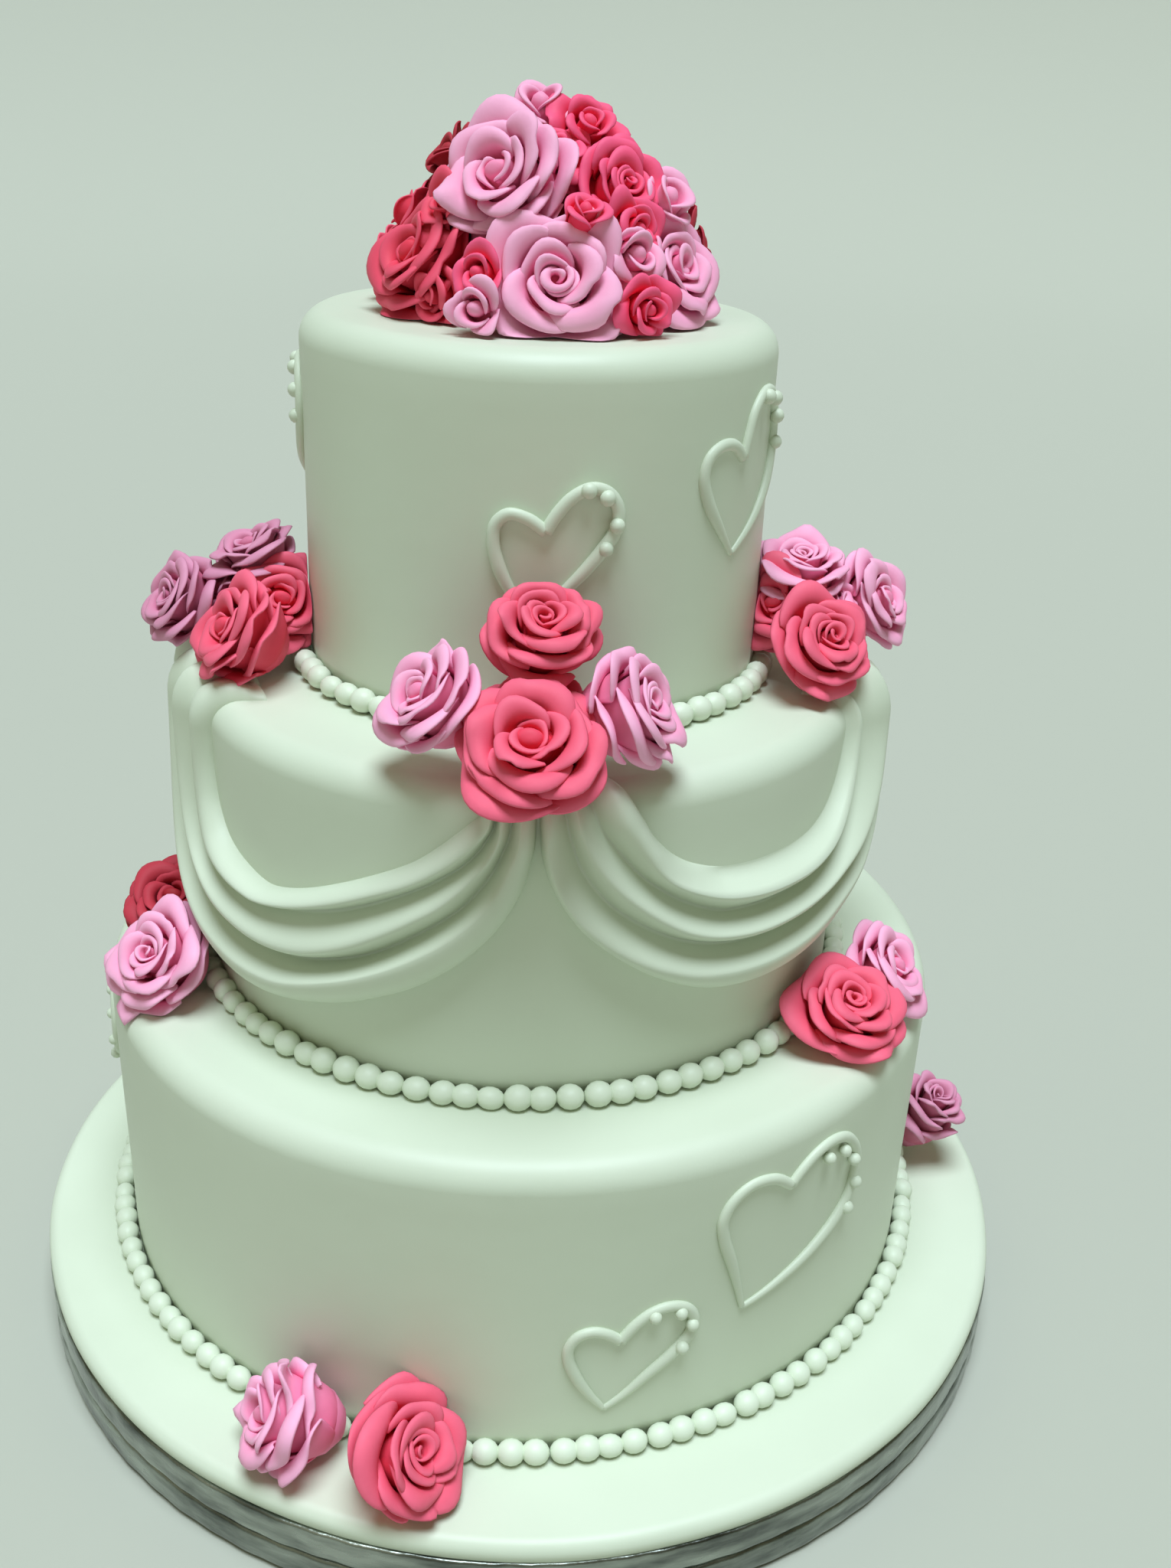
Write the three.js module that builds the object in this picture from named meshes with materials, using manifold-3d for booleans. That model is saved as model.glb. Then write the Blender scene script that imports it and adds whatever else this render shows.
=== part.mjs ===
// Three-tier iced wedding cake on an iced board over two foil-covered discs.
// Millimetres, +Z up, origin at the centre of the underside, front towards -Y.
import * as THREE from 'three';
import { mergeVertices } from 'three/addons/utils/BufferGeometryUtils.js';
import Module from 'manifold-3d';

const wasm = await Module();
wasm.setup();

// ---------------------------------------------------------------- driving dimensions
const GAP = 0.3;                 // clearance between pieces that touch
const SEG = 32;                  // facets around the tiers and boards

const BOARD_R = 191.8;           // 15 inch board with its foil
const DISC_T = 12;               // each foil-covered disc
const ICED_T = 8;                // icing on the upper disc
const BOARD_TOP = 2 * DISC_T + ICED_T;
const CENTRE = [-3.1, 1.2];      // bottom tier's axis, slightly off the board's

const TIER = {                   // radius with icing, height, axis offset from the bottom tier
  bottom: { r: 156.0, z0: BOARD_TOP, z1: BOARD_TOP + 115.4, dx: 0, dy: 0, beads: 120 },
  middle: { r: 116.0, z0: BOARD_TOP + 115.4, z1: BOARD_TOP + 225.3, dx: -0.5, dy: -4.2, beads: 90 },
  top: { r: 78.8, z0: BOARD_TOP + 225.3, z1: BOARD_TOP + 344.4, dx: 0.6, dy: 0.1, beads: 61 },
};
const RIM = 9;                   // rounding of a tier's upper edge
const BEAD_R = 4.0;              // sugar pearls, 8 mm across
const BEAD_NECK = 1.9;           // where two pearls of the rope meet

const SWAG_ROLL = 9.5;           // how far a swag's rolls stand out from the wall
const SWAG_GROOVE = 3.0;
const HEART_ROPE = 2.0;          // radius of the rolled rope of the hearts

// ---------------------------------------------------------------- colours
const paint = (hex, rough = 0.6, metal = 0) =>
  new THREE.MeshStandardMaterial({ color: hex, roughness: rough, metalness: metal });
const ICING = () => paint(0xe9f0e4, 0.55);
const PEARL = () => paint(0xf1f1ec, 0.4);
const FOIL = () => paint(0xb9bdb8, 0.28, 1);
const CORAL = () => paint(0xe8496a, 0.6);
const PINK = () => paint(0xe3a2cb, 0.6);

const cake = new THREE.Group();
cake.name = 'tiered_wedding_cake';

function add(name, geometry, material) {
  const mesh = new THREE.Mesh(geometry, material);
  mesh.name = name;
  cake.add(mesh);
  return mesh;
}

const rad = (d) => (d * Math.PI) / 180;
// angle 0 is the front (-Y), positive towards +X
const dirXY = (deg) => [Math.sin(rad(deg)), -Math.cos(rad(deg))];

// ---------------------------------------------------------------- turned pieces
function turned(profile, cx, cy, seg = SEG) {
  const pts = profile.map(([r, z]) => new THREE.Vector2(r, z));
  const g = new THREE.LatheGeometry(pts, seg);
  g.rotateX(Math.PI / 2);        // the profile's height becomes +Z
  g.translate(cx, cy, 0);
  return g;
}

// edges with a small rounding, bottom rounding e0 and top rounding e1
function slab(r, z0, z1, e0, e1) {
  const p = [[0, z0], [r - e0, z0]];
  if (e0 > 0) p.push([r, z0 + e0]);
  if (e1 > 0) p.push([r, z1 - e1], [r - 0.3 * e1, z1 - 0.3 * e1]);
  p.push([r - e1, z1], [0, z1]);
  return p;
}

add('board_disc_lower', turned([[0, 0], [BOARD_R - 4, 0], [BOARD_R, 4], [BOARD_R, DISC_T - 1.5], [BOARD_R - 1.5, DISC_T], [0, DISC_T]], 0, 0), FOIL());
add('board_disc_upper', turned([[0, DISC_T + GAP], [BOARD_R - 2, DISC_T + GAP], [BOARD_R, DISC_T + 2.3], [BOARD_R, 2 * DISC_T], [0, 2 * DISC_T]], 0, 0), FOIL());
add('board_icing', turned(slab(BOARD_R, 2 * DISC_T + GAP, BOARD_TOP, 0, 4), 0, 0), ICING());

for (const [name, t] of Object.entries(TIER)) {
  t.cx = CENTRE[0] + t.dx;
  t.cy = CENTRE[1] + t.dy;
  add(`tier_${name}`, turned(slab(t.r, t.z0 + GAP, t.z1, 0, RIM), t.cx, t.cy), ICING());
}

// ---------------------------------------------------------------- closed loft through rings of points
// rings: array of equally long arrays of [x, y, z]; closed means the last ring joins the first
function loft(rings, closed) {
  const n = rings.length;
  const m = rings[0].length;
  const pos = rings.flat(2);
  const idx = [];
  const at = (i, j) => (i % n) * m + (j % m);
  const last = closed ? n : n - 1;
  for (let i = 0; i < last; i++) {
    for (let j = 0; j < m; j++) {
      idx.push(at(i, j), at(i + 1, j), at(i + 1, j + 1));
      idx.push(at(i, j), at(i + 1, j + 1), at(i, j + 1));
    }
  }
  if (!closed) {
    for (let j = 1; j < m - 1; j++) {
      idx.push(at(0, 0), at(0, j), at(0, j + 1));
      idx.push(at(n - 1, 0), at(n - 1, j + 1), at(n - 1, j));
    }
  }
  return facing(pos, idx);
}

// turns the faces outward if the loft came out inside out
function facing(pos, idx) {
  let v = 0;
  for (let k = 0; k < idx.length; k += 3) {
    const [a, b, c] = [idx[k] * 3, idx[k + 1] * 3, idx[k + 2] * 3];
    v += pos[a] * (pos[b + 1] * pos[c + 2] - pos[b + 2] * pos[c + 1])
       - pos[a + 1] * (pos[b] * pos[c + 2] - pos[b + 2] * pos[c])
       + pos[a + 2] * (pos[b] * pos[c + 1] - pos[b + 1] * pos[c]);
  }
  if (v < 0) for (let k = 0; k < idx.length; k += 3) [idx[k + 1], idx[k + 2]] = [idx[k + 2], idx[k + 1]];
  const g = new THREE.BufferGeometry();
  g.setAttribute('position', new THREE.BufferAttribute(new Float32Array(pos), 3));
  g.setIndex(idx);
  return g;
}

// ---------------------------------------------------------------- pearl borders
// one rope of pearls around the foot of each tier: a ring that swells at each pearl
function pearlRope(t, n) {
  const rings = [];
  const rc = t.r + 0.4 + BEAD_R;
  const zc = t.z0 + GAP + BEAD_R;
  for (let i = 0; i < 2 * n; i++) {
    const a = (360 / (2 * n)) * i;
    const s = i % 2 === 0 ? BEAD_R : BEAD_NECK;
    const [ux, uy] = dirXY(a);
    rings.push([[1, 0], [0, 1], [-1, 0], [0, -1]].map(([p, q]) =>
      [t.cx + ux * (rc + s * p), t.cy + uy * (rc + s * p), zc + s * q]));
  }
  return loft(rings, true);
}
add('pearls_bottom', pearlRope(TIER.bottom, TIER.bottom.beads), PEARL());
add('pearls_middle', pearlRope(TIER.middle, TIER.middle.beads), PEARL());
add('pearls_top', pearlRope(TIER.top, TIER.top.beads), PEARL());

// ---------------------------------------------------------------- draped swags on the middle tier
// each swag: three soft rolls between two gathers; a, b the gathers' angles,
// drop the depth of its lowest edge below the tier's top, band its height at the middle
function swag(a, b, drop, band, roll, more = 0) {
  const t = TIER.middle;
  const steps = 10;
  const top = -7;                                  // the gathers end just under the rim
  const rings = [];
  for (let i = 0; i <= steps; i++) {
    const u = -1 + (2 * i) / steps;
    const sag = 1 - Math.pow(Math.abs(u), 2.2);
    const ang = (a + b) / 2 + ((b - a) / 2 + more) * u;
    const low = top - 17 - (drop + top - 17) * sag - more;
    const high = top - (drop - band + top) * sag + more;
    const h = low - high;
    const out = roll * (1 + 0.15 * Math.abs(u));
    // across the band: edge, crest, groove, crest, groove, crest, edge, as parts of its height
    const rows = [[0, 0.6], [0.14, out], [0.33, SWAG_GROOVE], [0.5, out], [0.68, SWAG_GROOVE], [0.86, out], [1, 0.6]];
    rings.push(rows.map(([f, p]) => {
      const [ux, uy] = dirXY(ang);
      return [t.cx + ux * (t.r + p + more), t.cy + uy * (t.r + p + more), t.z1 + high + h * f];
    }));
  }
  return loft(rings, false);
}
const SWAGS = {
  swag_front_left: [-83, -0.6, 89, 40, SWAG_ROLL],
  swag_front_right: [2.6, 87, 77, 43, SWAG_ROLL + 1.5],
  swag_back_right: [92, 180.5, 86, 40, SWAG_ROLL],
  swag_back_left: [183.5, 273, 79, 43, SWAG_ROLL + 1.5],
};
for (const [name, v] of Object.entries(SWAGS)) add(name, swag(...v), ICING());

// ---------------------------------------------------------------- rope hearts
// x along the wall and y up, with the heart's tip at 0,0; the right lobe is the larger
function heart(t, angle, foot, width, height, lobe, lean) {
  const steps = 12;
  const rings = [];
  const curve = [];
  for (let i = 0; i < steps; i++) {
    const k = (2 * Math.PI * (i + 0.5)) / steps;
    const x = Math.pow(Math.sin(k), 3) * (width / 2);
    const y = ((13 * Math.cos(k) - 5 * Math.cos(2 * k) - 2 * Math.cos(3 * k) - Math.cos(4 * k) + 17) / 29) * height;
    const wide = x > 0 ? 1 + lobe : 1 - lobe;
    curve.push([x * wide + lean * y, y * (x > 0 ? 1 + 0.3 * lobe : 1 - 0.3 * lobe)]);
  }
  for (let i = 0; i < steps; i++) {
    const [x, y] = curve[i];
    const [x0, y0] = curve[(i + steps - 1) % steps];
    const [x1, y1] = curve[(i + 1) % steps];
    const len = Math.hypot(x1 - x0, y1 - y0);
    const nx = -(y1 - y0) / len;                   // across the rope, in the wall's surface
    const ny = (x1 - x0) / len;
    const flat = [[-1, 0.15], [1, 0.15], [0, 2]];  // a flat foot on the wall and a round back
    rings.push(flat.map(([p, q]) => {
      const s = x + nx * p * HEART_ROPE;
      const [ux, uy] = dirXY(angle + (s / t.r) * (180 / Math.PI));
      const r = t.r + 0.5 + q * HEART_ROPE * 0.9;
      return [t.cx + ux * r, t.cy + uy * r, t.z0 + foot + y + ny * p * HEART_ROPE];
    }));
  }
  return loft(rings, true);
}
const HEARTS = [
  // name, tier, angle of the tip, height of the tip above the tier's foot, width, height, lobe, lean
  ['heart_top_front', 'top', -0.6, 40, 36, 35, 0.22, 0.14],
  ['heart_top_right', 'top', 52.4, 53, 46, 46, 0.14, 0.12],
  ['heart_top_left', 'top', -96, 56, 44, 44, 0.16, 0.1],
  ['heart_top_back', 'top', 152, 50, 46, 46, 0.16, 0.1],
  ['heart_bottom_front', 'bottom', 11.2, 17.4, 40, 36, 0.24, 0.2],
  ['heart_bottom_right', 'bottom', 28.6, 46.3, 54, 48, 0.22, 0.3],
  ['heart_bottom_left', 'bottom', -94, 46, 52, 48, 0.2, 0.2],
  ['heart_bottom_back_right', 'bottom', 118, 36, 48, 44, 0.2, 0.2],
  ['heart_bottom_back', 'bottom', 205, 40, 52, 46, 0.2, 0.2],
];
for (const [name, tier, ...v] of HEARTS) add(name, heart(TIER[tier], ...v), ICING());

// ---------------------------------------------------------------- sugar roses
// outline of a full rose, as parts of its radius, along the axis it faces:
// bud, hollow, rim of petals, lip, foot
const ROSE = [[0, 0.55], [0.3, 0.52], [0.45, 0.34], [0.86, 0.42], [1.0, 0.16], [0.74, -0.42], [0, -0.8]];
const BUD = [[0, 0.95], [0.52, 0.62], [0.78, -0.05], [0.4, -0.75], [0, -0.9]];

function roseGeometry(r, full, turn, deep = 1) {
  const seg = full && r > 19 ? 7 : 6;
  const outline = full ? ROSE : BUD;
  const pos = [];
  const idx = [];
  const k = outline.length - 2;
  pos.push(0, 0, outline[0][1] * r * deep);
  for (let j = 1; j <= k; j++) {
    for (let i = 0; i < seg; i++) {
      const a = (2 * Math.PI * (i + 0.5 * (j % 2))) / seg + turn;
      const ripple = 1 + 0.04 * Math.cos(3 * a + j);          // petals overlap in threes
      const [p, q] = outline[j];
      pos.push(Math.cos(a) * p * r * ripple, Math.sin(a) * p * r * ripple, (q + 0.05 * Math.sin(2 * a + j)) * r * deep);
    }
  }
  pos.push(0, 0, outline[k + 1][1] * r * deep);
  const end = 1 + k * seg;
  for (let i = 0; i < seg; i++) {
    const n = (i + 1) % seg;
    idx.push(0, 1 + i, 1 + n);
    for (let j = 0; j < k - 1; j++) {
      const [a, b, c, d] = [1 + j * seg + i, 1 + j * seg + n, 1 + (j + 1) * seg + i, 1 + (j + 1) * seg + n];
      if (j % 2 === 0) idx.push(a, c, b, b, c, d);
      else idx.push(a, c, d, a, d, b);
    }
    idx.push(1 + (k - 1) * seg + n, 1 + (k - 1) * seg + i, end);
  }
  return facing(pos, idx);
}

// closed geometry to and from the solid that cuts are made on
function solidOf(geometry) {
  let g = geometry.clone();
  g.deleteAttribute('normal');
  g.deleteAttribute('uv');
  g = mergeVertices(g, 1e-4);
  return new wasm.Manifold(new wasm.Mesh({
    numProp: 3,
    vertProperties: new Float32Array(g.attributes.position.array),
    triVerts: new Uint32Array(g.index.array),
  }));
}
function geometryOf(solid) {
  const m = solid.getMesh();
  const g = new THREE.BufferGeometry();
  g.setAttribute('position', new THREE.BufferAttribute(new Float32Array(m.vertProperties), 3));
  g.setIndex(Array.from(m.triVerts));
  return g;
}
// removes everything in front of a plane through point with its normal
function planed(solid, point, normal) {
  const n = new THREE.Vector3(...normal).normalize();
  const size = 160;
  const box = new THREE.BoxGeometry(size, size, size);
  box.translate(0, 0, size / 2);
  box.applyQuaternion(new THREE.Quaternion().setFromUnitVectors(new THREE.Vector3(0, 0, 1), n));
  box.translate(...point);
  return solid.subtract(solidOf(box));
}
// takes out a box between two corners, turned about Z
function boxed(solid, centre, size, deg) {
  const box = new THREE.BoxGeometry(...size);
  box.rotateZ(rad(deg));
  box.translate(...centre);
  return solid.subtract(solidOf(box));
}

// tiers and swags a gap larger all round, to be taken out of the roses that lean on them
const grown = [
  ...Object.values(TIER).map((t) => turned(slab(t.r + GAP, t.z0, t.z1 + GAP, 0, RIM), t.cx, t.cy)),
  ...Object.values(SWAGS).map((v) => swag(...v, GAP)),
].map(solidOf);

// name, full rose or bud, colour, radius, place from the bottom tier's axis (x, y) and from the
// board's top (z), the way it faces (angle around, angle up), and its depth where it isn't 1
const ROSES = [
  // bunch on the top tier
  ['rose_top_pink_upper', 1, PINK, 21.3, -10, -26, 385, -34, 30],
  ['rose_top_pink_centre', 1, PINK, 22, 5, -45, 357.5, 0, 26],
  ['rose_top_coral_left', 1, CORAL, 20.5, -35.5, -20, 360, -60, 34],
  ['rose_top_coral_right', 1, CORAL, 16.5, 23, -17, 383, 35, 30],
  ['rose_top_coral_crown', 1, CORAL, 12.7, 13, -4, 399.5, 20, 40],
  ['bud_top_pink_crown', 0, PINK, 11.5, -1, 3, 402.5, 0, 60],
  ['rose_top_coral_upper_left', 1, CORAL, 14, -26, 0, 389, -80, 40],
  ['rose_top_pink_right', 1, PINK, 20, 39, -19, 359, 50, 30],
  ['bud_top_pink_right', 0, PINK, 11.5, 36.5, -13, 378.5, 50, 40],
  ['bud_top_coral_right', 0, CORAL, 11, 48, 2, 365, 90, 14],
  ['bud_top_coral_left', 0, CORAL, 8.5, -17, -50, 360.5, -22, 18],
  ['bud_top_pink_left', 0, PINK, 9, -17.5, -54, 351.5, -20, 8],
  ['rose_top_coral_lower_right', 1, CORAL, 10.5, 31, -49, 352.5, 32, 4],
  ['rose_top_pink_back', 1, PINK, 21, -20, 30, 366, 212, 20],
  ['rose_top_coral_back', 1, CORAL, 20, 21, 32, 364.5, 148, 20],
  ['rose_top_pink_back_upper', 1, PINK, 15.5, 2, 20, 389, 176, 44],
  ['bud_top_coral_back_left', 0, CORAL, 11.5, -48, 14, 357, 250, 6],
  // front gather of the swags
  ['rose_front_coral', 1, CORAL, 21, 1, -128, 241.5, -8, 54],
  ['rose_front_coral_upper', 1, CORAL, 16.8, 3, -101, 267, 10, 57, 1.3],
  ['rose_front_pink_left', 1, PINK, 17.5, -28, -111, 249, -66, 40],
  ['rose_front_pink_right', 1, PINK, 19, 29.5, -109, 247.5, 72, 28],
  // left gather
  ['rose_left_coral', 1, CORAL, 19, -96.5, -38, 242.5, -62, 30],
  ['rose_left_pink_outer', 1, PINK, 16.5, -121.5, -10.5, 243.5, -60, 30],
  ['rose_left_pink_upper', 1, PINK, 16, -96.5, -4, 258.5, -70, 66],
  // right gather
  ['rose_right_coral', 1, CORAL, 18.6, 98.5, -34.5, 242.8, 30, 42],
  ['rose_right_pink_outer', 1, PINK, 16.5, 121.5, -3, 248, 56, 32],
  ['rose_right_pink_upper', 1, PINK, 17.5, 94, -6, 259.8, 0, 76],
  // back gather
  ['rose_back_coral', 1, CORAL, 20, -4, 112, 245.5, 182, 12],
  ['rose_back_pink_left', 1, PINK, 15.5, -35, 103, 247, 238, 8],
  ['rose_back_pink_upper', 1, PINK, 16, 16, 97, 261, 170, 44],
  // on the bottom tier
  ['rose_ledge_left_pink', 1, PINK, 19.5, -125.5, -61.5, 129.5, -46, 42],
  ['rose_ledge_left_coral', 1, CORAL, 18.5, -127, -33, 135.5, 0, 62],
  ['rose_ledge_right_coral', 1, CORAL, 18.8, 111.5, -82, 127.5, 30, 64],
  ['rose_ledge_right_pink', 1, PINK, 17.3, 129, -58, 128.5, 64, 42],
  // on the board
  ['rose_board_coral', 1, CORAL, 21, -34, -172, 17.2, 60, 34],
  ['rose_board_pink', 1, PINK, 18.3, -73, -158, 17, -74, 24, 1.25],
  ['rose_board_right_pink', 1, PINK, 14, 172, 2, 24.5, 50, 68, 1.8],
];

const roses = ROSES.map(([name, full, colour, r, x, y, z, az, el, deep], n) => {
  const g = roseGeometry(r, full, n * 0.7, deep);
  const [ux, uy] = dirXY(az);
  const axis = new THREE.Vector3(ux * Math.cos(rad(el)), uy * Math.cos(rad(el)), Math.sin(rad(el)));
  g.applyQuaternion(new THREE.Quaternion().setFromUnitVectors(new THREE.Vector3(0, 0, 1), axis));
  const at = [x + CENTRE[0], y + CENTRE[1], z + BOARD_TOP];
  g.translate(...at);
  return { name, colour, r, at, axis, solid: solidOf(g) };
});

// roses pressed together share a flat face, half the gap on either side
for (let i = 0; i < roses.length; i++) {
  for (let j = i + 1; j < roses.length; j++) {
    const [a, b] = [roses[i], roses[j]];
    const d = new THREE.Vector3(...b.at).sub(new THREE.Vector3(...a.at));
    const len = d.length();
    if (len > a.r + b.r + 1) continue;
    if (a.solid.intersect(b.solid).volume() < 1e-6 && len > 0.8 * (a.r + b.r)) continue;
    d.normalize();
    const f = (a.r / (a.r + b.r)) * len;
    const mid = new THREE.Vector3(...a.at).addScaledVector(d, f);
    const pa = mid.clone().addScaledVector(d, -GAP / 2 - 0.03);
    const pb = mid.clone().addScaledVector(d, GAP / 2 + 0.03);
    a.solid = planed(a.solid, pa.toArray(), d.toArray());
    b.solid = planed(b.solid, pb.toArray(), d.clone().negate().toArray());
  }
}

// flat where they sit on a tier or the board and where they lean on a wall or its pearls
for (const q of roses) {
  for (const [inner, ledge] of [[TIER.bottom, BOARD_TOP], [TIER.middle, TIER.bottom.z1], [TIER.top, TIER.middle.z1], [null, TIER.top.z1]]) {
    const box = q.solid.boundingBox();
    if (box.min[2] > ledge + 100 || q.at[2] < ledge) continue;
    const outer = ledge === BOARD_TOP ? { cx: 0, cy: 0, r: BOARD_R } : Object.values(TIER).find((t) => t.z1 === ledge);
    const dist = Math.hypot(q.at[0] - outer.cx, q.at[1] - outer.cy);
    if (dist < outer.r - 4 && box.min[2] < ledge + GAP) q.solid = planed(q.solid, [q.at[0], q.at[1], ledge + GAP], [0, 0, -1]);
    if (!inner) continue;
    const dx = q.at[0] - inner.cx;
    const dy = q.at[1] - inner.cy;
    const l = Math.hypot(dx, dy);
    const deg = (Math.atan2(dy, dx) * 180) / Math.PI;
    if (l - q.r < inner.r + GAP) {
      q.solid = planed(q.solid, [inner.cx + (dx / l) * (inner.r + GAP), inner.cy + (dy / l) * (inner.r + GAP), q.at[2]], [-dx, -dy, 0]);
    }
    if (l - q.r < inner.r + 9 && box.min[2] < ledge + 9) {
      const reach = inner.r + 0.4 + 2 * BEAD_R + GAP;
      const at = reach - 20;
      q.solid = boxed(q.solid, [inner.cx + (dx / l) * at, inner.cy + (dy / l) * at, ledge], [40, 120, 2 * (2 * BEAD_R + 2 * GAP)], deg);
    }
  }
  for (const body of grown) {
    if (q.solid.intersect(body).volume() > 1e-6) q.solid = q.solid.subtract(body);
  }
  // keep the one piece that carries the rose if a cut took off a crumb
  const parts = q.solid.decompose();
  q.solid = parts.reduce((a, b) => (a.volume() > b.volume() ? a : b));
  add(q.name, geometryOf(q.solid), q.colour());
}

export default cake;
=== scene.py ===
# Tiered wedding cake on its iced board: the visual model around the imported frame.
# Sizes below are in millimetres, in the frame of the CAD (origin under the board's centre, front -Y).
import math
import bpy
import bmesh
import numpy as np
from mathutils import Vector, Matrix


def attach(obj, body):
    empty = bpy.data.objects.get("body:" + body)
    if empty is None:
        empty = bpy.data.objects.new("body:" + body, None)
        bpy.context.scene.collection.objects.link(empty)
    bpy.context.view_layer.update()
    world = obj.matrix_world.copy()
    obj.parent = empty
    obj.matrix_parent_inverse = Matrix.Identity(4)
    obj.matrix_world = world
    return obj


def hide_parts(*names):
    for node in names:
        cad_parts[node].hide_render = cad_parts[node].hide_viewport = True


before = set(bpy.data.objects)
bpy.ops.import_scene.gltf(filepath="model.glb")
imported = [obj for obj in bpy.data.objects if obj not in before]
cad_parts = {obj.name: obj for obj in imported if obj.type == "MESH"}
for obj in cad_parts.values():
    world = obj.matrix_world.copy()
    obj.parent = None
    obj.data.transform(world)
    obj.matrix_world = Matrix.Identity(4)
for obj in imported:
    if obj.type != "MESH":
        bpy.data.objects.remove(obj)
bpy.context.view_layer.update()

MM = 0.001
BOARD_R = 191.8
BOARD_TOP = 32.0
AXIS = (-3.1, 1.2)                     # bottom tier's axis
TIERS = {
    "bottom": dict(r=156.0, z0=32.0, z1=147.4, dx=0.0, dy=0.0, beads=120),
    "middle": dict(r=116.0, z0=147.4, z1=257.3, dx=-0.5, dy=-4.2, beads=90),
    "top": dict(r=78.8, z0=257.3, z1=376.4, dx=0.6, dy=0.1, beads=61),
}
for t in TIERS.values():
    t["cx"], t["cy"] = AXIS[0] + t["dx"], AXIS[1] + t["dy"]
RIM = 9.5


# ------------------------------------------------------------------ camera
def camera():
    pitch, yaw, roll, f = 0.4332, 0.0412, 0.0420, 2026.27
    cp, sp, cy, sy = math.cos(pitch), math.sin(pitch), math.cos(yaw), math.sin(yaw)
    fwd = Vector((sy * cp, cy * cp, -sp))
    right = Vector((cy, -sy, 0.0))
    up = right.cross(fwd)
    r2 = math.cos(roll) * right + math.sin(roll) * up
    u2 = -math.sin(roll) * right + math.cos(roll) * up
    data = bpy.data.cameras.new("camera")
    data.sensor_fit = "VERTICAL"
    data.sensor_height = 36.0
    data.lens = f / 2048.0 * 36.0
    data.clip_end = 100.0
    ob = bpy.data.objects.new("camera", data)
    m = Matrix((r2, u2, -fwd)).transposed().to_4x4()
    m.translation = Vector((-3.1, -530.1 + 1.2, 418.0 + 32.0)) * MM
    ob.matrix_world = m
    bpy.context.scene.collection.objects.link(ob)
    bpy.context.scene.camera = ob


camera()


# ------------------------------------------------------------------ materials
def new_material(name):
    m = bpy.data.materials.new(name)
    m.use_nodes = True
    nt = m.node_tree
    return m, nt, nt.nodes["Principled BSDF"]


def noise(nt, scale, detail=3.0, rough=0.5, stretch=None):
    tc = nt.nodes.new("ShaderNodeTexCoord")
    n = nt.nodes.new("ShaderNodeTexNoise")
    n.inputs["Scale"].default_value = scale
    n.inputs["Detail"].default_value = detail
    n.inputs["Roughness"].default_value = rough
    if stretch:
        mp = nt.nodes.new("ShaderNodeMapping")
        mp.inputs["Scale"].default_value = stretch
        nt.links.new(tc.outputs["Object"], mp.inputs["Vector"])
        nt.links.new(mp.outputs["Vector"], n.inputs["Vector"])
    else:
        nt.links.new(tc.outputs["Object"], n.inputs["Vector"])
    return n


def ramp(nt, source, stops):
    r = nt.nodes.new("ShaderNodeValToRGB")
    e = r.color_ramp.elements
    while len(e) < len(stops):
        e.new(0.5)
    for k, (p, c) in enumerate(stops):
        e[k].position = p
        e[k].color = (*c, 1.0)
    nt.links.new(source, r.inputs["Fac"])
    return r


def bumps(nt, bsdf, layers):
    """layers: (height output, distance in metres, strength), one on the other"""
    last = None
    for out, dist, strength in layers:
        b = nt.nodes.new("ShaderNodeBump")
        b.inputs["Distance"].default_value = dist
        b.inputs["Strength"].default_value = strength
        nt.links.new(out, b.inputs["Height"])
        if last:
            nt.links.new(last.outputs["Normal"], b.inputs["Normal"])
        last = b
    nt.links.new(last.outputs["Normal"], bsdf.inputs["Normal"])


def icing_material(name, light, dark, rough):
    m, nt, b = new_material(name)
    big = noise(nt, 14.0, 2.0)
    c = ramp(nt, big.outputs["Fac"], [(0.3, dark), (0.7, light)])
    nt.links.new(c.outputs["Color"], b.inputs["Base Color"])
    fine = noise(nt, 900.0, 4.0, 0.6)
    soft = noise(nt, 55.0, 2.0)
    r = nt.nodes.new("ShaderNodeMapRange")
    r.inputs["To Min"].default_value = rough - 0.06
    r.inputs["To Max"].default_value = rough + 0.08
    nt.links.new(soft.outputs["Fac"], r.inputs["Value"])
    nt.links.new(r.outputs["Result"], b.inputs["Roughness"])
    b.inputs["Specular IOR Level"].default_value = 0.42
    bumps(nt, b, [(soft.outputs["Fac"], 0.0006, 0.35), (fine.outputs["Fac"], 0.00006, 0.35)])
    return m


def petal_material(name, deep, body, rim, rough):
    """colour by where it lies on the petal: deeper low down and paler towards the rolled rim; partly the paste's own
    tone, partly painted shade low in the cup and a painted highlight on the rim
    """
    m, nt, b = new_material(name)
    at = nt.nodes.new("ShaderNodeAttribute")
    at.attribute_type = "GEOMETRY"
    at.attribute_name = "paste_tone_and_painted_light"
    c = ramp(nt, at.outputs["Fac"], [(0.0, deep), (0.4, body), (0.9, rim)])
    mix = nt.nodes.new("ShaderNodeMix")
    mix.data_type = "RGBA"
    mix.blend_type = "MULTIPLY"
    mix.inputs["Factor"].default_value = 1.0
    n = noise(nt, 160.0, 3.0)
    v = ramp(nt, n.outputs["Fac"], [(0.25, (0.93, 0.90, 0.92)), (0.75, (1.0, 1.0, 1.0))])
    nt.links.new(c.outputs["Color"], mix.inputs["A"])
    nt.links.new(v.outputs["Color"], mix.inputs["B"])
    nt.links.new(mix.outputs["Result"], b.inputs["Base Color"])
    b.inputs["Roughness"].default_value = rough
    b.inputs["Specular IOR Level"].default_value = 0.25
    fine = noise(nt, 1400.0, 4.0, 0.6)
    soft = noise(nt, 260.0, 2.0)
    bumps(nt, b, [(soft.outputs["Fac"], 0.00025, 0.3), (fine.outputs["Fac"], 0.00005, 0.4)])
    return m


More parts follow.
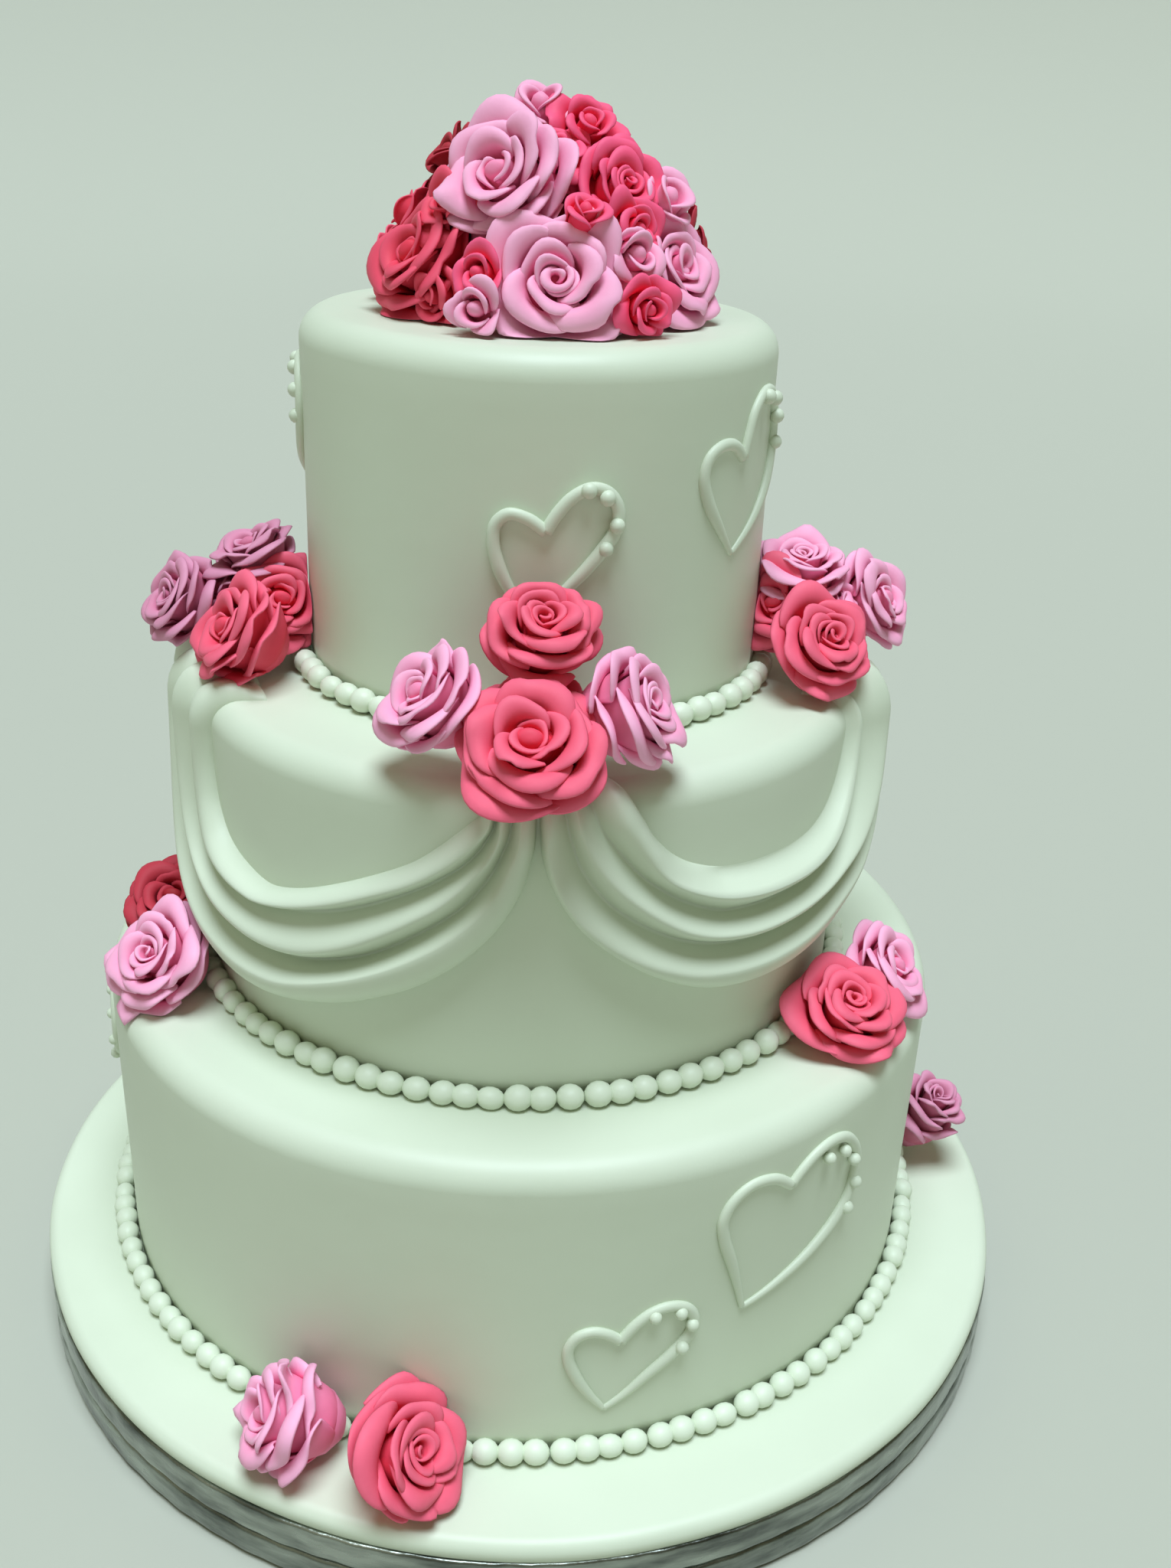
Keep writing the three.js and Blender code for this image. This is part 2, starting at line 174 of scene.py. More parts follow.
def foil_material():
    m, nt, b = new_material("silver_foil")
    # light and dark streaks in the foil's colour stand in for the creased foil's reflections: painted reflection
    n = noise(nt, 26.0, 4.0, 0.6, (1.0, 1.0, 5.0))
    c = ramp(nt, n.outputs["Fac"], [(0.36, (0.13, 0.14, 0.13)), (0.66, (0.41, 0.44, 0.395))])
    nt.links.new(c.outputs["Color"], b.inputs["Base Color"])
    b.inputs["Metallic"].default_value = 1.0
    r = nt.nodes.new("ShaderNodeMapRange")
    r.inputs["To Min"].default_value = 0.16
    r.inputs["To Max"].default_value = 0.34
    nt.links.new(n.outputs["Fac"], r.inputs["Value"])
    nt.links.new(r.outputs["Result"], b.inputs["Roughness"])
    emboss = nt.nodes.new("ShaderNodeTexVoronoi")
    emboss.inputs["Scale"].default_value = 420.0
    tc = nt.nodes.new("ShaderNodeTexCoord")
    nt.links.new(tc.outputs["Object"], emboss.inputs["Vector"])
    crease = noise(nt, 60.0, 4.0, 0.6, (1.0, 1.0, 0.15))
    bumps(nt, b, [(crease.outputs["Fac"], 0.0012, 0.5), (emboss.outputs["Distance"], 0.00012, 0.5)])
    return m


ICING = icing_material("white_icing", (0.668, 0.726, 0.585), (0.634, 0.692, 0.551), 0.46)
# the white icing made uniformly lighter for the pearls: painted light
ICING_PAINTED_LIGHT_PEARLS = icing_material("pearl_icing", (0.745, 0.81, 0.66), (0.715, 0.78, 0.63), 0.45)
CORAL = petal_material("coral_sugar_paste", (0.84, 0.034, 0.070), (0.88, 0.080, 0.145), (0.94, 0.150, 0.245), 0.6)
# the coral paste made brighter and stronger for the bunch on top: painted light
CORAL_PAINTED_LIGHT = petal_material("coral_sugar_paste_painted_light", (0.92, 0.024, 0.060), (0.97, 0.055, 0.135), (1.0, 0.125, 0.27), 0.6)
# the coral paste made darker for roses on the shaded left of the bunch: painted shade
CORAL_PAINTED_SHADE = petal_material("coral_sugar_paste_painted_shade", (0.74, 0.022, 0.045), (0.81, 0.050, 0.095), (0.88, 0.100, 0.175), 0.6)
RED = petal_material("red_sugar_paste", (0.30, 0.009, 0.016), (0.40, 0.019, 0.032), (0.52, 0.042, 0.068), 0.62)
PINK = petal_material("pink_sugar_paste", (0.88, 0.15, 0.28), (0.98, 0.30, 0.50), (1.0, 0.47, 0.68), 0.62)
# the pink paste made darker for roses that lie in shade: painted shade
PINK_PAINTED_SHADE = petal_material("pink_sugar_paste_painted_shade", (0.60, 0.09, 0.17), (0.68, 0.20, 0.33), (0.73, 0.31, 0.46), 0.62)
FOIL = foil_material()
# the key deep picks the darker coral: painted shade
COLOUR = {"coral": CORAL, "vivid": CORAL_PAINTED_LIGHT, "deep": CORAL_PAINTED_SHADE, "red": RED, "pink": PINK, "mauve": PINK_PAINTED_SHADE}


# ------------------------------------------------------------------ mesh helpers
def make(name, verts, faces, mat, nodes=(), paste_tone_and_painted_light=None, flat=False):
    """verts in millimetres"""
    me = bpy.data.meshes.new(name)
    v = np.asarray(verts, dtype=np.float64) * MM
    me.from_pydata(v.tolist(), [], [tuple(int(i) for i in f) for f in faces])
    bm = bmesh.new()
    bm.from_mesh(me)
    bmesh.ops.recalc_face_normals(bm, faces=bm.faces)
    bm.to_mesh(me)
    bm.free()
    me.update()
    if not flat:
        me.polygons.foreach_set("use_smooth", np.ones(len(me.polygons), dtype=bool))
    if paste_tone_and_painted_light is not None:
        a = me.attributes.new("paste_tone_and_painted_light", "FLOAT", "POINT")
        a.data.foreach_set("value", np.asarray(paste_tone_and_painted_light, dtype=np.float32))
    me.materials.append(mat)
    ob = bpy.data.objects.new(name, me)
    bpy.context.scene.collection.objects.link(ob)
    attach(ob, "root")
    if nodes:
        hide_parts(*nodes)
    return ob


def grid_faces(n, m, close_n=False, close_m=False, base=0):
    """faces of a grid of n rows of m points"""
    out = []
    for i in range(n if close_n else n - 1):
        a, b = i * m, ((i + 1) % n) * m
        for j in range(m if close_m else m - 1):
            k = (j + 1) % m
            out.append((base + a + j, base + a + k, base + b + k, base + b + j))
    return out


def ring_dir(theta):
    """unit vector outward; theta in radians, 0 at the front, positive to the right"""
    return np.sin(theta), -np.cos(theta)


# ------------------------------------------------------------------ tiers and board
def turned(name, profile, cx, cy, seg, mat, nodes, wobble=None):
    """profile from the axis below to the axis above, in order"""
    prof = np.array(profile, dtype=float)
    inner = prof[1:-1]
    th = np.arange(seg) * 2 * np.pi / seg
    ux, uy = ring_dir(th)
    verts = [(cx, cy, prof[0, 1])]
    for r, z in inner:
        rr = np.full(seg, r)
        zz = np.full(seg, z)
        if wobble is not None:
            dr, dz = wobble(th, r, z)
            rr, zz = rr + dr, zz + dz
        verts.extend(np.column_stack([cx + ux * rr, cy + uy * rr, zz]).tolist())
    verts.append((cx, cy, prof[-1, 1]))
    n = len(inner)
    faces = []
    for f in grid_faces(n, seg, close_m=True, base=1):
        faces.append(f)
    for j in range(seg):
        k = (j + 1) % seg
        faces.append((0, 1 + k, 1 + j))
        faces.append((1 + n * seg, 1 + (n - 1) * seg + j, 1 + (n - 1) * seg + k))
    return make(name, verts, faces, mat, nodes)


def arc(cr, cz, rad, a0, a1, n):
    a = np.radians(np.linspace(a0, a1, n))
    return [(cr + rad * math.cos(x), cz + rad * math.sin(x)) for x in a]


def tier(name, t, seed):
    r, z0, z1 = t["r"], t["z0"] + 0.3, t["z1"]
    prof = [(0, z0), (r * 0.9, z0), (r, z0)]
    prof += [(r, z0 + (z1 - RIM - z0) * k / 14.0) for k in range(1, 14)]
    prof += arc(r - RIM, z1 - RIM, RIM, 0, 90, 10)
    prof += [(r - RIM - (r - RIM) * k / 8.0, z1) for k in range(1, 8)] + [(0, z1)]

    def wobble(th, rr, zz):
        h = (zz - z0) / (z1 - z0)
        wall = 1.0 if rr > r - RIM * 1.5 else rr / r
        dr = 0.28 * np.sin(2 * th + seed) + 0.2 * np.sin(3 * th + 1.7 * seed + 3 * h) + 0.15 * np.sin(7 * th + 5 * h + seed)
        dr = dr - 0.35 * math.sin(math.pi * min(max(h, 0), 1)) * 0.6
        dz = np.zeros_like(th)
        if zz > z1 - RIM * 1.01:
            dz = 0.18 * np.sin(2 * th + 2 * seed) + 0.12 * np.sin(5 * th + seed) - 0.12
        return dr * wall, dz
    return turned("icing_" + name, prof, t["cx"], t["cy"], 192, ICING, ["tier_" + name], wobble)


for k, (nm, t) in enumerate(TIERS.items()):
    tier(nm, t, 1.3 + 2.1 * k)


def board():
    r = BOARD_R
    prof = [(0, 24.3), (r - 3, 24.3), (r - 0.9, 24.5)] + arc(r - 4.6, BOARD_TOP - 4.6, 4.6, -25, 90, 12)
    prof += [(r * k / 10.0, BOARD_TOP) for k in range(9, 0, -1)] + [(0, BOARD_TOP)]

    def wobble(th, rr, zz):
        dr = 0.25 * np.sin(3 * th + 0.4) + 0.18 * np.sin(8 * th + 1.1) + 0.1 * np.sin(17 * th)
        dz = np.zeros_like(th)
        if zz > BOARD_TOP - 2:
            dz = 0.12 * np.sin(2 * th + 1.0) + 0.08 * np.sin(5 * th) - 0.1
        return (dr - 0.4) * (rr / r), dz
    turned("icing_board", prof, 0, 0, 256, ICING, ["board_icing"], wobble)

    # two discs wrapped in foil, each with rounded edges; the foil has fine upright pleats
    def disc(name, z0, z1, e0, e1, node, seed):
        p = [(0, z0), (r * 0.5, z0), (r - e0 - 3, z0)] + arc(r - e0, z0 + e0, e0, -90, 0, 7)
        p += [(r, z0 + e0 + (z1 - e1 - z0 - e0) * k / 4.0) for k in range(1, 4)]
        p += arc(r - e1, z1 - e1, e1, 0, 90, 6) + [(r - e1 - 3, z1), (r * 0.5, z1), (0, z1)]

        def pleat(th, rr, zz):
            if rr < r - 8:
                return np.zeros_like(th), np.zeros_like(th)
            s = np.sin(61 * th + seed) * np.sin(23 * th + 2 * seed) + 0.6 * np.sin(97 * th + 3 * np.sin(5 * th))
            return 0.16 * s - 0.25, np.zeros_like(th)
        turned(name, p, 0, 0, 512, FOIL, [node], pleat)
    disc("foil_disc_lower", 0.0, 12.0, 3.6, 2.2, "board_disc_lower", 0.5)
    disc("foil_disc_upper", 12.3, 24.0, 2.2, 1.6, "board_disc_upper", 2.5)


board()


# ------------------------------------------------------------------ pearl borders
def pearls(name, t, seed):
    rng = np.random.default_rng(seed)
    n = t["beads"]
    nu, nv = 14, 8                      # around, and between the poles
    unit = []
    for i in range(1, nv):
        a = math.pi * i / nv
        for j in range(nu):
            b = 2 * math.pi * j / nu
            unit.append((math.sin(a) * math.cos(b), math.sin(a) * math.sin(b), math.cos(a)))
    unit = np.array([(0, 0, 1)] + unit + [(0, 0, -1)])
    quads = grid_faces(nv - 1, nu, close_m=True, base=1)
    last = len(unit) - 1
    tris = []
    for j in range(nu):
        k = (j + 1) % nu
        tris.append((0, 1 + j, 1 + k))
        tris.append((last, last - nu + k, last - nu + j))
    verts, faces = [], []
    base = 0
    rc = t["r"] + 3.6
    for i in range(n):
        th = 2 * math.pi * (i + 0.12 * rng.normal() * 0.5) / n
        ux, uy = math.sin(th), -math.cos(th)
        s = 1 + 0.045 * rng.normal()
        s = min(max(s, 0.9), 1.06)
        along = 4.72 + 0.06 * rng.normal()
        r = 4.12 * s
        c = np.array([t["cx"] + ux * (rc + 0.15 * rng.normal()), t["cy"] + uy * (rc), t["z0"] + r * 0.90])
        # x: outward, y: along the border, z: up, turned a little at random so that no two look alike
        tw = 0.3 * rng.normal()
        e0 = np.array([ux, uy, 0.0])
        e1 = np.array([-uy, ux, 0.0])
        e2 = np.array([0.0, 0.0, 1.0])
        f1 = e1 * math.cos(tw * 0.3) + e2 * math.sin(tw * 0.3)
        f2 = -e1 * math.sin(tw * 0.3) + e2 * math.cos(tw * 0.3)
        p = c + np.outer(unit[:, 0] * r, e0) + np.outer(unit[:, 2] * along, f1) + np.outer(unit[:, 1] * r, f2)
        verts.append(p)
        faces.extend([tuple(base + k for k in q) for q in quads])
        faces.extend([tuple(base + k for k in q) for q in tris])
        base += len(unit)
    make(name, np.concatenate(verts), faces, ICING_PAINTED_LIGHT_PEARLS, ["pearls_" + name.split("_")[-1]])


for k, (nm, t) in enumerate(TIERS.items()):
    pearls("sugar_pearls_" + nm, t, 11 + k)


# ------------------------------------------------------------------ draped swags
def on_tier(t, theta, s, out):
    """point at angle theta (radians) and distance s along the tier's skin from its top edge
    (negative down the wall, positive onto the ledge), standing out by out"""
    r, e = t["r"], RIM
    q = e * math.pi / 2
    s = np.asarray(s, dtype=float)
    theta = np.asarray(theta, dtype=float)
    out = np.asarray(out, dtype=float)
    a = np.clip((s + e) / e, 0.0, math.pi / 2)          # angle round the rim
    low = s < -e
    flat = s > -e + q
    br = np.where(low, r, r - e + e * np.cos(a))
    bz = np.where(low, s, -e + e * np.sin(a))
    br = np.where(flat, r - e - (s + e - q), br)
    bz = np.where(flat, 0.0, bz)
    nr, nz = np.cos(a), np.sin(a)
    rr, zz = br + nr * out, bz + nz * out
    return np.stack([t["cx"] + np.sin(theta) * rr, t["cy"] - np.cos(theta) * rr, t["z1"] + zz], axis=-1)


def resampled(row, n):
    """a smooth row of n points, evenly spaced: angle, distance from the tier's edge, stand-out"""
    p = np.array([(q[0] * 2.05, q[1], q[2] if len(q) > 2 else -0.6) for q in row], dtype=float)
    p = np.vstack([2 * p[0] - p[1], p, 2 * p[-1] - p[-2]])
    out = []
    for i in range(1, len(p) - 2):
        for x in np.linspace(0, 1, 10, endpoint=False):
            out.append(0.5 * (2 * p[i] + (p[i + 1] - p[i - 1]) * x + (2 * p[i - 1] - 5 * p[i] + 4 * p[i + 1] - p[i + 2]) * x**2
                              + (3 * p[i] - p[i - 1] - 3 * p[i + 1] + p[i + 2]) * x**3))
    out.append(p[-2])
    out = np.array(out)
    d = np.concatenate([[0], np.cumsum(np.hypot(*np.diff(out[:, :2], axis=0).T))])
    k = np.linspace(0, d[-1], n)
    th, ss, oo = (np.interp(k, d, out[:, c]) for c in range(3))
    return th / 2.05, ss, oo


def swag(name, node, rows, seed, edge):
    """rows from the upper edge to the lower: edge, crest, groove, crest, groove, crest, edge.
    edge: angle from the front beyond which the fabric slopes gently up to the first ridge"""
    t = TIERS["middle"]
    n = 150
    w = np.linspace(0, 1, n)
    inner = np.sin(np.pi * w) ** 0.5
    press = np.clip(np.minimum(w, 1 - w) / 0.07, 0, 1)     # pressed flat under the roses
    press = press * press * (3 - 2 * press)
    lines = []
    for r, row in enumerate(rows):
        th, ss, oo = resampled(row, n)
        if r == 5:
            ss, oo = ss + 1.2 * inner, oo + 2.8 * inner
        wave = inner * (0.30 * np.sin(8.1 * w + seed + 0.7 * r) + 0.18 * np.sin(19 * w + 2 * seed + r))
        lines.append((th, ss + wave, -0.6 + (oo + 0.6) * (0.35 + 0.65 * press)))
    sub = 10
    ths, ss, oo = [], [], []
    top = len(lines) - 2
    for r in range(len(lines) - 1):
        a, b = lines[r], lines[r + 1]
        down = r % 2 == 1                                 # from a crest down to a groove
        for k in range(sub + (1 if r == top else 0)):
            f = k / sub
            if r == 0:
                g = 1 - math.cos(f * math.pi / 2)         # closer points near the wall
                x = 1 - g
                soft = np.clip((np.abs(a[0]) - edge) / 12, 0, 1)
                shape = (1 - x ** 2.2) ** 0.6 * (1 - soft) + (1 - x) ** 2.0 * soft
            elif r == top:
                g = x = math.sin(f * math.pi / 2)
                shape = (1 - x ** 2) ** 0.5
            else:
                g = f
                x = f if down else 1 - f                  # 0 at the crest, 1 at the groove
                e = 0.30
                shape = 1 - (math.sqrt(x * x + e * e) - e) / (math.sqrt(1 + e * e) - e)
            ths.append(a[0] + (b[0] - a[0]) * g)
            ss.append(a[1] + (b[1] - a[1]) * g)
            hi, lo = (a[2], b[2]) if (down or r == top) else (b[2], a[2])
            oo.append(lo + (hi - lo) * shape)
    back = [(lines[-1][0], lines[-1][1], -1.4), (lines[0][0], lines[0][1], -1.4)]
    ths = np.array(ths + [x[0] for x in back])
    ss = np.array(ss + [x[1] for x in back])
    oo = np.array(oo + [np.full(n, x[2]) for x in back])
    pts = on_tier(t, np.radians(ths), ss, oo)            # rows x n x 3
    m = pts.shape[0]
    verts = pts.transpose(1, 0, 2).reshape(-1, 3)        # n rings of m points
    faces = grid_faces(n, m, close_m=True)
    faces.append(tuple(reversed(range(m))))
    faces.append(tuple((n - 1) * m + k for k in range(m)))
    return make(name, verts, faces, ICING, [node])


# each row: angle from the front, distance from the tier's top edge, stand-out
LEFT = [
    [(-6, 6), (-5.8, -6), (-7.9, -11), (-10.2, -15.4), (-13.1, -20.8), (-16.7, -26.6), (-21.7, -32.3), (-28.5, -38.9),
     (-36.2, -45.4), (-43, -49.8), (-46.5, -50.3), (-50.3, -49.2), (-55, -47), (-58.8, -43.3), (-62, -36.2), (-63.4, -28.9),
     (-64, -19.8), (-63.6, -8), (-62, 4), (-60, 13)],
    [(-4.8, 6, 7.5), (-4.6, -7, 7.5), (-7, -15, 7.6), (-9.5, -20.3, 7.8), (-12.5, -25.5, 7.9), (-16.5, -31, 8.1),
     (-21.7, -36.3, 8.3), (-28, -42.3, 8.5), (-36, -48.9, 8.5), (-43, -53, 8.5), (-47, -53.5, 8.5), (-52, -52.4, 8.5),
     (-57.5, -50, 7.8), (-62, -45.5, 6.8), (-65, -38, 6.1), (-66.5, -29, 5.8), (-67, -19, 5.7), (-66.5, -7, 5.8), (-65, 4, 6.1),
     (-63.5, 13, 6.4)],
    [(-3.8, 6, 1.6), (-4.2, -9, 1.6), (-5.4, -15.3, 1.6), (-7, -20.6, 1.6), (-9.2, -25.4, 1.6), (-11.4, -28.8, 1.5),
     (-14.9, -33.6, 1.5), (-20.9, -40.2, 1.4), (-27.4, -46.3, 1.4), (-31.7, -49.6, 1.4), (-38, -53.5, 1.4), (-43.4, -56.2, 1.4),
     (-49.7, -57, 1.4), (-56, -56.5, 1.8), (-62, -53, 3.1), (-67, -45, 4.2), (-69.5, -34, 4.4), (-70.3, -20, 4.4), (-70, -7, 4.4),
     (-69, 4, 4.4), (-67.5, 13, 4.2)],
    [(-2.8, 6, 8), (-3.2, -10, 8), (-4.6, -18.5, 8.1), (-6.6, -24.5, 8.3), (-9, -30.5, 8.6), (-12, -36.5, 9), (-15, -41, 9.3),
     (-20, -48, 9.9), (-26, -55.5, 10.5), (-32.6, -62, 10.5), (-38, -65, 10.5), (-43, -66, 10.5), (-48, -65.5, 10.5),
     (-54, -63.5, 10.5), (-60, -60, 10.1), (-66, -54, 9.6), (-70.5, -45, 9.5), (-73, -33, 9.5), (-74, -20, 9.5), (-74, -7, 9.5),
     (-73, 4, 9.5), (-71.5, 13, 9.5)],
    [(-1.8, 6, 1.4), (-2, -12, 1.4), (-3.2, -20.1, 1.4), (-4.8, -27.4, 1.4), (-7, -34, 1.3), (-9.2, -39.3, 1.3),
     (-11.4, -43.3, 1.3), (-14.9, -49, 1.2), (-21.1, -57.9, 1.1), (-26.3, -63.8, 1), (-30.6, -67.4, 1), (-35.2, -70.5, 1),
     (-40.3, -72.4, 1), (-46, -73, 1), (-53, -72.5, 1), (-61, -69, 3), (-68, -61, 4.9), (-73, -50, 5), (-76, -36, 5),
     (-77.5, -20, 5), (-77.5, -5, 5), (-76.5, 5, 5), (-75.5, 13, 5)],
    [(-0.2, 6, 7), (-0.4, -13, 7), (-1.7, -22, 7), (-3.5, -31, 7), (-6.6, -40.5, 7.2), (-11, -49.5, 7.5), (-16.6, -58, 7.9),
     (-22.6, -65.5, 8.3), (-29.2, -72, 8.5), (-36.7, -78, 8.5), (-41.8, -80, 8.5), (-47.7, -80.5, 8.5), (-53.5, -79.5, 8.5),
     (-61, -76.5, 9), (-69, -69, 9.5), (-75, -58, 9.5), (-79, -42, 9.5), (-81, -22, 9.5), (-81, -5, 9.5), (-80, 5, 9.5),
     (-79, 13, 9.5)],
    [(1.7, 4), (1.7, -15), (1.2, -22), (0.1, -31), (-2, -40.5), (-4.9, -49.5), (-9.5, -59.5), (-15.6, -69.3), (-22.1, -76.3),
     (-27.7, -81.3), (-32.3, -84.2), (-37.2, -86.8), (-43.9, -89), (-52, -89), (-60, -86), (-70, -77), (-78, -62), (-83, -42),
     (-85, -22), (-85.5, -5), (-84.5, 5), (-83.5, 13)],
]
RIGHT = [
    [(11.5, 6), (13, 2), (15.1, -2.5), (17.6, -9.8), (19.2, -15.5), (21.2, -20.6), (23.5, -24.8), (27, -28.8), (33, -32.6),
     (42, -35), (50, -35.2), (57.5, -32.8), (63.5, -27), (67.5, -18), (69.8, -7), (70.5, 4), (70.5, 13)],
    [(10, 6, 8), (11.5, -1, 8.2), (13.5, -6, 8.5), (15.5, -12, 8.8), (17.5, -19, 9), (19.5, -25, 9.2), (22, -29.8, 9.4),
     (26, -34.2, 9.5), (31, -38, 9.5), (37, -40.5, 9.5), (43, -41.5, 9.4), (50, -41.2, 9), (57.5, -38.2, 8), (64, -31.5, 6.5),
     (69, -21, 5.4), (71.6, -9, 4.8), (72.2, 4, 4.4), (72.2, 13, 4)],
    [(8.2, 6, 1.6), (8.7, -1, 1.6), (10, -6.8, 1.6), (11.6, -13.3, 1.6), (14.1, -20.1, 1.6), (17.5, -28.3, 1.6), (21.3, -34.8, 1.6),
     (25.4, -40.5, 1.6), (30.3, -45.7, 1.6), (34.1, -47.9, 1.6), (39, -49.2, 1.6), (44.4, -49.5, 1.6), (51, -48.9, 1.8),
     (58.5, -45.4, 2.3), (65, -37.5, 2.8), (70, -26, 3.2), (73, -12, 3.4), (73.8, 4, 3.4), (73.8, 13, 3)],
    [(6.6, 6, 7.9), (7, -4, 7.9), (7.9, -10, 8.1), (9.3, -17, 8.3), (11, -23, 8.5), (13.5, -29.5, 8.9), (16.5, -35.5, 9.3),
     (20, -41.5, 9.8), (24, -47, 10.4), (28.5, -51, 10.5), (34, -53.5, 10.5), (39.2, -54.3, 10.5), (44.5, -54, 10.5),
     (51, -53, 10.5), (58.5, -50.5, 10.8), (66, -44.5, 12.4), (73, -33, 13.5), (78, -18, 13.5), (79.5, -5, 13.5), (79.5, 5, 13.5),
     (79.5, 13, 13.5)],
    [(5.2, 6, 1.4), (6, -8, 1.4), (7.1, -16.8, 1.4), (8.3, -23.8, 1.4), (10.1, -30, 1.4), (13.1, -37.7, 1.4), (16.8, -44.2, 1.4),
     (20.6, -49.6, 1.4), (24.5, -54, 1.4), (28.7, -57.3, 1.4), (33.2, -59.6, 1.4), (38, -60.9, 1.4), (43.3, -61, 1.4),
     (49.5, -60.9, 1.4), (57.5, -58.5, 1.6), (66, -52, 4.5), (74, -39, 6.5), (80, -21, 6.5), (82, -5, 6.5), (82, 5, 6.5),
     (82, 13, 6.5)],
    [(3.2, 6, 6.5), (3.4, -10, 6.5), (3.5, -17, 6.5), (4.2, -24.5, 6.5), (5.5, -32, 6.6), (7.7, -40, 6.8), (10.6, -46.5, 7),
     (14, -52.5, 7.2), (18.8, -58.8, 7.6), (25.2, -64.2, 8), (30.6, -66.5, 8), (36.6, -67.6, 8), (41.6, -67.8, 8), (49.5, -66.8, 8),
     (58, -63.5, 8.2), (67, -56, 10.1), (76, -42, 11), (82.5, -22, 11), (84.5, -5, 11), (84.5, 5, 11), (84.5, 13, 11)],
    [(2, 4), (2.3, -15), (3, -24), (4.4, -32), (6.6, -40), (9.6, -48), (14, -56.2), (20.5, -65.3), (27.6, -72), (33.7, -75.2),
     (40.7, -76.6), (47, -76.6), (55.4, -74.5), (64, -69), (73, -59), (81, -42), (86.5, -22), (88, -5), (88, 5), (88, 13)],
]


def turned_rows(rows, a0, a1, flip, depth=1.0):
    """the same drape between two other gathers, mirrored where flip is set"""
    lo = min(q[0] for r in rows for q in r)
    hi = max(q[0] for r in rows for q in r)
    out = []
    for r in rows:
        line = []
        for q in r:
            k = (q[0] - lo) / (hi - lo)
            k = 1 - k if flip else k
            line.append((a0 + (a1 - a0) * k, q[1] * depth if q[1] < 0 else q[1]) + tuple(q[2:]))
        out.append(line)
    return out


swag("draped_swag_front_left", "swag_front_left", LEFT, 1, 200)
swag("draped_swag_front_right", "swag_front_right", RIGHT, 2, 20)
swag("draped_swag_back_right", "swag_back_right", turned_rows(LEFT, 92.5, 181.0, True, 0.97), 3, 300)
swag("draped_swag_back_left", "swag_back_left", turned_rows(RIGHT, 183.0, 271.5, False, 1.03), 4, 300)


# ------------------------------------------------------------------ rope hearts with pearls
def smooth_line(points, n):
    """points joined by a smooth line (centripetal Catmull-Rom), n samples"""
    p = np.array(points, dtype=float)
    p = np.vstack([2 * p[0] - p[1], p, 2 * p[-1] - p[-2]])
    out = []
    seglen = [np.hypot(*(p[i + 1] - p[i])) for i in range(1, len(p) - 2)]
    total = sum(seglen)
    for i in range(1, len(p) - 2):
        k = max(2, int(round(n * seglen[i - 1] / total)))
        t0 = 0.0
        ts = [t0]
        for a in range(3):
            ts.append(ts[-1] + max(1e-6, np.hypot(*(p[i - 1 + a + 1] - p[i - 1 + a])) ** 0.5))
        for x in np.linspace(ts[1], ts[2], k, endpoint=False):
            a1 = (ts[1] - x) / (ts[1] - ts[0]) * p[i - 1] + (x - ts[0]) / (ts[1] - ts[0]) * p[i]
            a2 = (ts[2] - x) / (ts[2] - ts[1]) * p[i] + (x - ts[1]) / (ts[2] - ts[1]) * p[i + 1]
            a3 = (ts[3] - x) / (ts[3] - ts[2]) * p[i + 1] + (x - ts[2]) / (ts[3] - ts[2]) * p[i + 2]
            b1 = (ts[2] - x) / (ts[2] - ts[0]) * a1 + (x - ts[0]) / (ts[2] - ts[0]) * a2
            b2 = (ts[3] - x) / (ts[3] - ts[1]) * a2 + (x - ts[1]) / (ts[3] - ts[1]) * a3
            out.append((ts[2] - x) / (ts[2] - ts[1]) * b1 + (x - ts[1]) / (ts[2] - ts[1]) * b2)
    out.append(p[-2])
    return np.array(out)


def rope_on_wall(t, line, radius, ends):
    """a rope of icing along a line (distance along the wall, height) stuck to the wall"""
    n = len(line)
    d = np.gradient(line, axis=0)
    d /= np.linalg.norm(d, axis=1)[:, None] + 1e-9
    nx, ny = -d[:, 1], d[:, 0]
    k = np.linspace(0, 1, n)
    r = radius * (1 + 0.06 * np.sin(9 * k + radius))
    a, b = ends                                          # how thick each end is
    r = r * (1 - (1 - a) * np.clip(1 - k / 0.3, 0, 1) ** 1.5) * (1 - (1 - b) * np.clip((k - 0.6) / 0.4, 0, 1) ** 1.5)
    m = 10
    rings = []
    for j in range(m):
        x = 2 * np.pi * j / m
        side, out = np.cos(x), np.sin(x)
        s = line[:, 0] + nx * side * r
        z = line[:, 1] + ny * side * r
        h = t["r"] + (out * 0.80 + 0.30) * r
        th = s / t["r"]
        rings.append(np.column_stack([t["cx"] + np.sin(th) * h, t["cy"] - np.cos(th) * h, t["z0"] + z]))
    verts = np.array(rings).transpose(1, 0, 2).reshape(-1, 3)
    # small rounded caps
    c0 = verts[:m].mean(axis=0)
    c1 = verts[-m:].mean(axis=0)
    verts = np.vstack([verts, c0, c1])
    faces = grid_faces(n, m, close_m=True)
    e0, e1 = n * m, n * m + 1
    for j in range(m):
        q = (j + 1) % m
        faces.append((e0, q, j))
        faces.append((e1, (n - 1) * m + j, (n - 1) * m + q))
    return verts, faces


